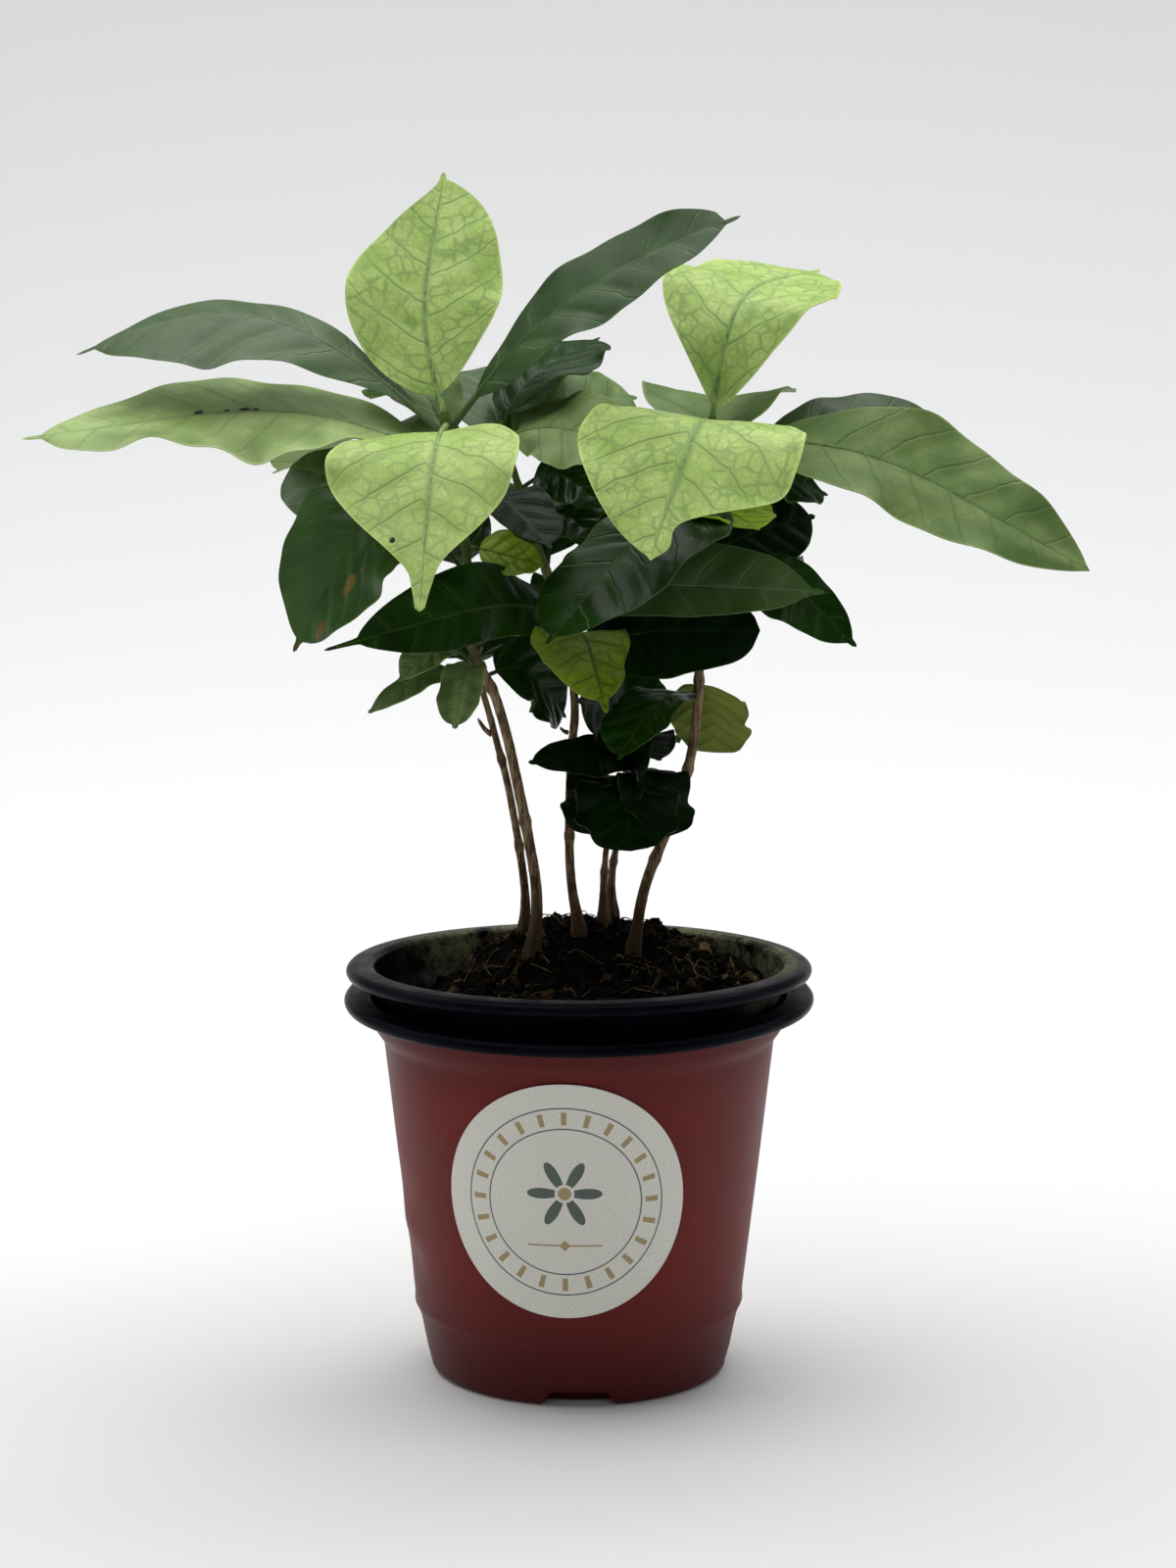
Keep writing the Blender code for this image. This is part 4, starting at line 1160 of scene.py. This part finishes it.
def make_twigs(bark):
    """Short rounded stubs that stand on the stems."""
    piece = Piece("twig_stubs")
    part = np.linspace(0, 1, 12)
    for start, end, radii in TWIGS:
        start, end = np.array(start), np.array(end)
        sag = 0.12 * np.linalg.norm(end - start) * np.sin(math.pi * part)
        line = start + (end - start) * part[:, None]
        line[:, 2] -= sag
        ahead = unit(np.gradient(line, axis=0))
        right = unit(np.cross(ahead, (0.0, 1.0, 0.3)))
        width = radii[0] + (radii[1] - radii[0]) * part
        width = width * np.sqrt(np.maximum(1 - (np.maximum(part - 0.8, 0) / 0.21) ** 2, 0.02))
        piece.add_tube(line, right, np.cross(right, ahead), width, 12)
    piece.build([bark], "young_bark", angle=80)


# Leaves


def chord_axes(root, tip):
    """Directions up and to the right of the line from root to tip."""
    line = unit(tip - root)
    upward = unit(np.array((0.0, 0.0, 1.0)) - line * line[2])
    return upward, np.cross(line, upward)


def midrib(root, leaf, parts):
    """Points of the midrib: a chord from the node to the tip, arched and bowed."""
    upward, right = chord_axes(root, leaf["tip"])
    swell = np.sin(math.pi * parts) * (1 + 0.35 * np.cos(math.pi * parts))
    up = leaf["arch"] * swell + leaf["late_arch"] * np.sin(math.tau * parts)
    aside = leaf["bow"] * swell
    points = root + (leaf["tip"] - root) * parts[:, None]
    return points + upward * up[:, None] + right * aside[:, None]


def blade_frames(root, leaf, parts):
    """Centre, direction across and direction above at each part of a leaf's length."""
    centre = midrib(root, leaf, parts)
    ahead = midrib(root, leaf, np.minimum(parts + 0.03, 1.0))
    behind = midrib(root, leaf, np.maximum(parts - 0.03, 0.0))
    tangent = unit(ahead - behind)
    _, right = chord_axes(root, leaf["tip"])
    right = unit(right - tangent * (tangent @ right)[:, None])
    normal = np.cross(right, tangent)
    turn = math.radians(leaf["roll"])
    across = right * math.cos(turn) + normal * math.sin(turn)
    above = normal * math.cos(turn) - right * math.sin(turn)
    return centre, across, above


def side_widths(leaf, side, parts, length):
    """Half the width on one side along a leaf's length, petiole included."""
    half, widest, pointed, *tip_pointed = leaf[side]
    tail_part, tail_half = leaf["tail"]
    petiole = min(leaf["stalk"] / length, 0.6)
    along = np.clip((parts - petiole) / (1 - petiole), 0.0, 1.0)
    body = np.clip(along / (1 - tail_part), 1e-6, 1 - 1e-6)
    swell = (body / widest) ** widest * ((1 - body) / (1 - widest)) ** (1 - widest)
    toward_tip = tip_pointed[0] if tip_pointed else pointed
    shape = half * swell ** np.where(body < widest, pointed, toward_tip)
    shape = shape * (1 + leaf["scallop"] * np.sin(parts * 26 + (1.7 if side == "right" else 0.0)))
    for dented, at, depth, spread in leaf["dents"]:
        if dented == side:
            shape = shape * (1 - depth * np.exp(-(((along - at) / spread) ** 2)))
    tail = tail_half * smooth_step(along, 0.5, 0.85) * (1 - 0.6 * smooth_step(along, 0.8, 1.0))
    blunt = np.sqrt(np.maximum(1 - (np.maximum(along - 0.975, 0) / 0.025) ** 2, 0.0))
    joined = np.sqrt(shape**2 + tail**2) * blunt
    return np.maximum(joined, np.where(parts <= petiole * 1.02, 0.3, 0.1))


def vein_phases(length, parts, sides, half):
    """Counts the side veins along the blade: a whole number falls on a vein."""
    along = parts[:, None] * length
    away = np.abs(sides) * half
    shift = np.where(sides > 0, 0.38, 0.0)
    return (along - 0.55 * away - 0.012 * away**2) / min(VEIN_SPACING, length / 6) + shift


def blade_surface(root, leaf, seed):
    """Points of the blade's middle surface, its half widths and its vein phases."""
    length = float(np.linalg.norm(leaf["tip"] - root))
    stretch = np.linspace(0, 1, BLADE_STATIONS)
    parts = stretch + 0.035 * np.sin(math.tau * stretch)
    parts = parts - 0.012 * np.sin(2 * math.tau * stretch)
    station = parts[:, None]
    sides = np.linspace(-1, 1, BLADE_STRIPS + 1)
    at_right = sides > 0
    centre, across, above = blade_frames(root, leaf, parts)
    left = side_widths(leaf, "left", parts, length)[:, None]
    right = side_widths(leaf, "right", parts, length)[:, None]
    half = np.where(sides < 0, left, right)
    right_bumps, left_bumps, _, frill_start = np.random.default_rng(seed).uniform(0, math.tau, 4)
    bumps = np.where(at_right, np.sin(11 * station + right_bumps), np.sin(12 * station + left_bumps))
    reach = half * np.abs(sides) * (1 + 0.04 * bumps)
    lift = np.radians(leaf["fold"] + (leaf["tip_fold"] - leaf["fold"]) * station)
    filled = np.minimum(half / max(leaf["left"][0], leaf["right"][0]), 1)
    left_wave, right_wave = leaf["wave"]
    wave = np.where(at_right, right_wave, left_wave)
    turns = station * leaf["waves"] + leaf["phase"] + np.where(at_right, 1.3, 0.0)
    ripple = wave * np.sin(turns) * sides**2 * filled
    frill = 0.3 * wave * np.sin(station * 39 + frill_start + np.where(at_right, 2.0, 0.0))
    frill = frill * sides**4 * filled
    phases = vein_phases(length, parts, sides, half)
    quilt = np.abs(np.sin(math.pi * phases)) ** 0.7 - 0.5
    puff = COLOURING[leaf["kind"]].puff
    quilt = puff * quilt * np.sin(math.pi * np.abs(sides) ** 0.8) ** 0.7 * filled
    soft = np.sqrt(reach**2 + 1.2) - 1.1
    outward = np.sign(sides) * reach * np.cos(lift)
    upward = soft * np.sin(lift) + ripple + frill + quilt
    points = centre[:, None] + across[:, None] * outward[..., None] + above[:, None] * upward[..., None]
    return points, parts, sides, half, phases, length


def add_blade(piece, root, leaf, seed, cell, share, slots):
    """One leaf: its two faces and rim, and its midrib with the petiole."""
    points, parts, sides, half, phases, length = blade_surface(root, leaf, seed)
    rows, columns = points.shape[:2]
    total = rows * columns
    normal = -unit(np.cross(np.gradient(points, axis=0), np.gradient(points, axis=1)))
    thick = BLADE_THICKNESS / 2 * (1 - 0.35 * np.abs(sides)) * np.minimum(1, 0.4 + half / 6)
    exact = pack(parts[:, None] * length / 100 + 0 * sides, half * sides / 100).reshape(-1, 2)
    flat = exact + (seed * 0.37 % 3, seed * 0.71 % 3)
    layers = {"flat": flat, "veins": pack(phases, sides + 0 * phases).reshape(-1, 2), "blade": exact}
    bottom, top = ((cell + height) * share for height in MAP_FACE_BAND)
    station = (parts - parts[0]) / (parts[-1] - parts[0])
    upper = pack(MAP_EDGE + MAP_FACE_LENGTH * station[:, None] + 0 * sides,
                 bottom + (top - bottom) * ((sides + 1) / 2) + 0 * phases).reshape(-1, 2)

    def maps(faces, bake):
        """Corner coordinates of faces in every layer."""
        return {name: layer[faces] for name, layer in layers.items()} | {"OFBake": bake}

    faces = grid_faces(rows, columns)
    turned = faces[:, ::-1]
    lower = upper + (MAP_UNDERSIDE_SHIFT, 0.0)
    first = piece.count
    piece.add(points + normal * thick[..., None], turned, slots[0], maps(turned, upper[turned]))
    piece.add(points - normal * thick[..., None], faces, slots[1], maps(faces, lower[faces]))
    grid = np.arange(total).reshape(rows, columns)
    border = np.concatenate([grid[0, :-1], grid[:-1, -1], grid[-1, :0:-1], grid[:0:-1, 0]])
    following = np.roll(border, -1)
    rim = pack(border, border + total, following + total, following)[:, ::-1]
    near, far = upper[border], upper[following]
    outward = MAP_RIM * np.sign(near - (0.25, (bottom + top) / 2))
    rim_map = np.stack([near, near + outward, far + outward, far], axis=1)[:, ::-1]
    piece.add_faces(rim + first, slots[0], maps(rim % total, rim_map))
    add_rib(piece, root, leaf, length, cell, share, slots[2])


def add_rib(piece, root, leaf, length, cell, share, slot):
    """The petiole, which runs on as the midrib and thins out before the tip."""
    size = min(1.0, 0.45 + length / 120)
    parts = np.linspace(0, 0.96, RIB_STATIONS)
    centre, across, above = blade_frames(root, leaf, parts)
    free = np.exp(-np.maximum(parts - leaf["stalk"] / length, 0) / 0.12)
    radii = size * (0.14 + 0.36 * (1 - parts) ** 1.2 + 0.32 * free)
    middle = centre + above * (0.12 - 0.35 * radii)[:, None]
    points, quads, caps = tube(middle, across, above, radii, RIB_SIDES)
    row, around = np.divmod(np.arange(len(points)), RIB_SIDES)
    row = np.minimum(row, RIB_STATIONS - 1)
    height = (cell + MAP_RIB_START + MAP_RIB_WIDTH * around / RIB_SIDES) * share
    bake = pack(MAP_EDGE + MAP_RIB_LENGTH * row / (RIB_STATIONS - 1), height)
    corners = bake[quads]
    wrapped = (quads % RIB_SIDES == 0) & (quads[:, [0]] % RIB_SIDES == RIB_SIDES - 1)
    seam = (cell + MAP_RIB_START + MAP_RIB_WIDTH) * share
    corners[..., 1] = np.where(wrapped, seam, corners[..., 1])
    first = piece.count
    piece.add(points, quads, slot, {"OFBake": corners})
    piece.add_faces(caps + first, slot, {"OFBake": bake[caps]})


def make_leaves():
    """A piece for each mass, every leaf in the materials of its kind."""
    makers = (blade_material, underside_material, rib_material)
    kinds = {kind: [make(kind) for make in makers] for kind in COLOURING}
    seed = 0
    for name, (stem, _, leaves) in FOLIAGE.items():
        worn = sorted({leaf["kind"] for leaf in leaves})
        materials = [material for kind in worn for material in kinds[kind]]
        piece = Piece(f"leaves_{name}", ("flat", "veins", "blade", "OFBake"))
        for index, leaf in enumerate(leaves):
            seed += 1
            start = 3 * worn.index(leaf["kind"])
            root = stem_axis(stem, np.array([float(leaf["node"])]))[0]
            add_blade(piece, root, leaf, seed, index, 1 / len(leaves), range(start, start + 3))
        slot = "light_leaves" if name.endswith("top") else "dark_leaves"
        piece.build(materials, slot, f"foliage_{name}", angle=75)


# Studio


def make_camera():
    data = bpy.data.cameras.new("camera")
    data.lens = CAMERA_LENS
    data.sensor_width = 36.0
    data.clip_start = 0.01
    data.clip_end = 20.0
    camera = bpy.data.objects.new("camera", data)
    camera.location = [value * MM for value in CAMERA_PLACE]
    camera.rotation_euler = (math.radians(90 - CAMERA_PITCH), 0.0, 0.0)
    bpy.context.scene.collection.objects.link(camera)
    bpy.context.scene.camera = camera


def make_floor():
    """A pale sweep: level under the plant, rising slowly behind it."""
    look = Look("paper_sweep", 0.9, srgb(250, 250, 250), specular=0.1)
    line = [(SWEEP_FRONT, 0.0)]
    for turn in np.linspace(0, math.radians(SWEEP_RISE), SWEEP_STEPS):
        line.append((SWEEP_BEND + SWEEP_RADIUS * math.sin(turn), SWEEP_RADIUS * (1 - math.cos(turn))))
    points = [(side * SWEEP_HALF_WIDTH * MM, y * MM, z * MM) for y, z in line for side in (-1, 1)]
    faces = [(2 * i, 2 * i + 1, 2 * i + 3, 2 * i + 2) for i in range(len(line) - 1)]
    mesh = bpy.data.meshes.new("sweep")
    mesh.from_pydata(points, [], faces)
    mesh.materials.append(look.material)
    mesh.shade_smooth()
    sweep = bpy.data.objects.new("sweep", mesh)
    bpy.context.scene.collection.objects.link(sweep)


def area_light(name, place, aim, size, watts):
    """A softbox that lights the scene and isn't seen itself."""
    data = bpy.data.lights.new(name, "AREA")
    data.shape = "RECTANGLE"
    data.size, data.size_y = (value * MM for value in size)
    data.energy = watts
    lamp = bpy.data.objects.new(name, data)
    place = np.array(place, float)
    x, y, z = place - np.array(aim, float)
    lamp.location = place * MM
    pitch = math.atan2(math.hypot(x, y), z)
    lamp.rotation_euler = (pitch, 0.0, math.atan2(x, -y) if pitch > 1e-6 else 0.0)
    lamp.visible_camera = False
    bpy.context.scene.collection.objects.link(lamp)


def make_lights():
    """Softboxes above, behind, at both sides and far in front, which leave the near side dim.

    Past the edge of the floor a pale backdrop is seen, which lights nothing.
    """
    world = bpy.data.worlds.new("studio")
    bpy.context.scene.world = world
    world.use_nodes = True
    nodes, links = world.node_tree.nodes, world.node_tree.links
    background = nodes.get("Background") or nodes.new("ShaderNodeBackground")
    background.inputs["Color"].default_value = WORLD_COLOUR
    background.inputs["Strength"].default_value = WORLD_STRENGTH
    seen = nodes.new("ShaderNodeBackground")
    seen.inputs["Color"].default_value = BACKDROP_COLOUR
    path = nodes.new("ShaderNodeLightPath")
    either = nodes.new("ShaderNodeMixShader")
    output = nodes.get("World Output") or nodes.new("ShaderNodeOutputWorld")
    links.new(path.outputs["Is Camera Ray"], either.inputs[0])
    links.new(background.outputs[0], either.inputs[1])
    links.new(seen.outputs[0], either.inputs[2])
    links.new(either.outputs[0], output.inputs["Surface"])
    for name, (place, aim, size, watts) in SOFTBOXES.items():
        area_light(name, place, aim, size, watts)
    bpy.context.scene.view_settings.view_transform = "Standard"


make_camera()
make_floor()
make_lights()
make_pot("outer_pot_shell", "outer_pot", "red_plastic", inner=False)
make_pot("inner_pot_shell", "inner_pot", "black_plastic", inner=True)
make_label(label_material())
make_soil(soil_material())
make_strewn()
bark = bark_material()
make_stems(bark)
make_twigs(bark)
make_leaves()
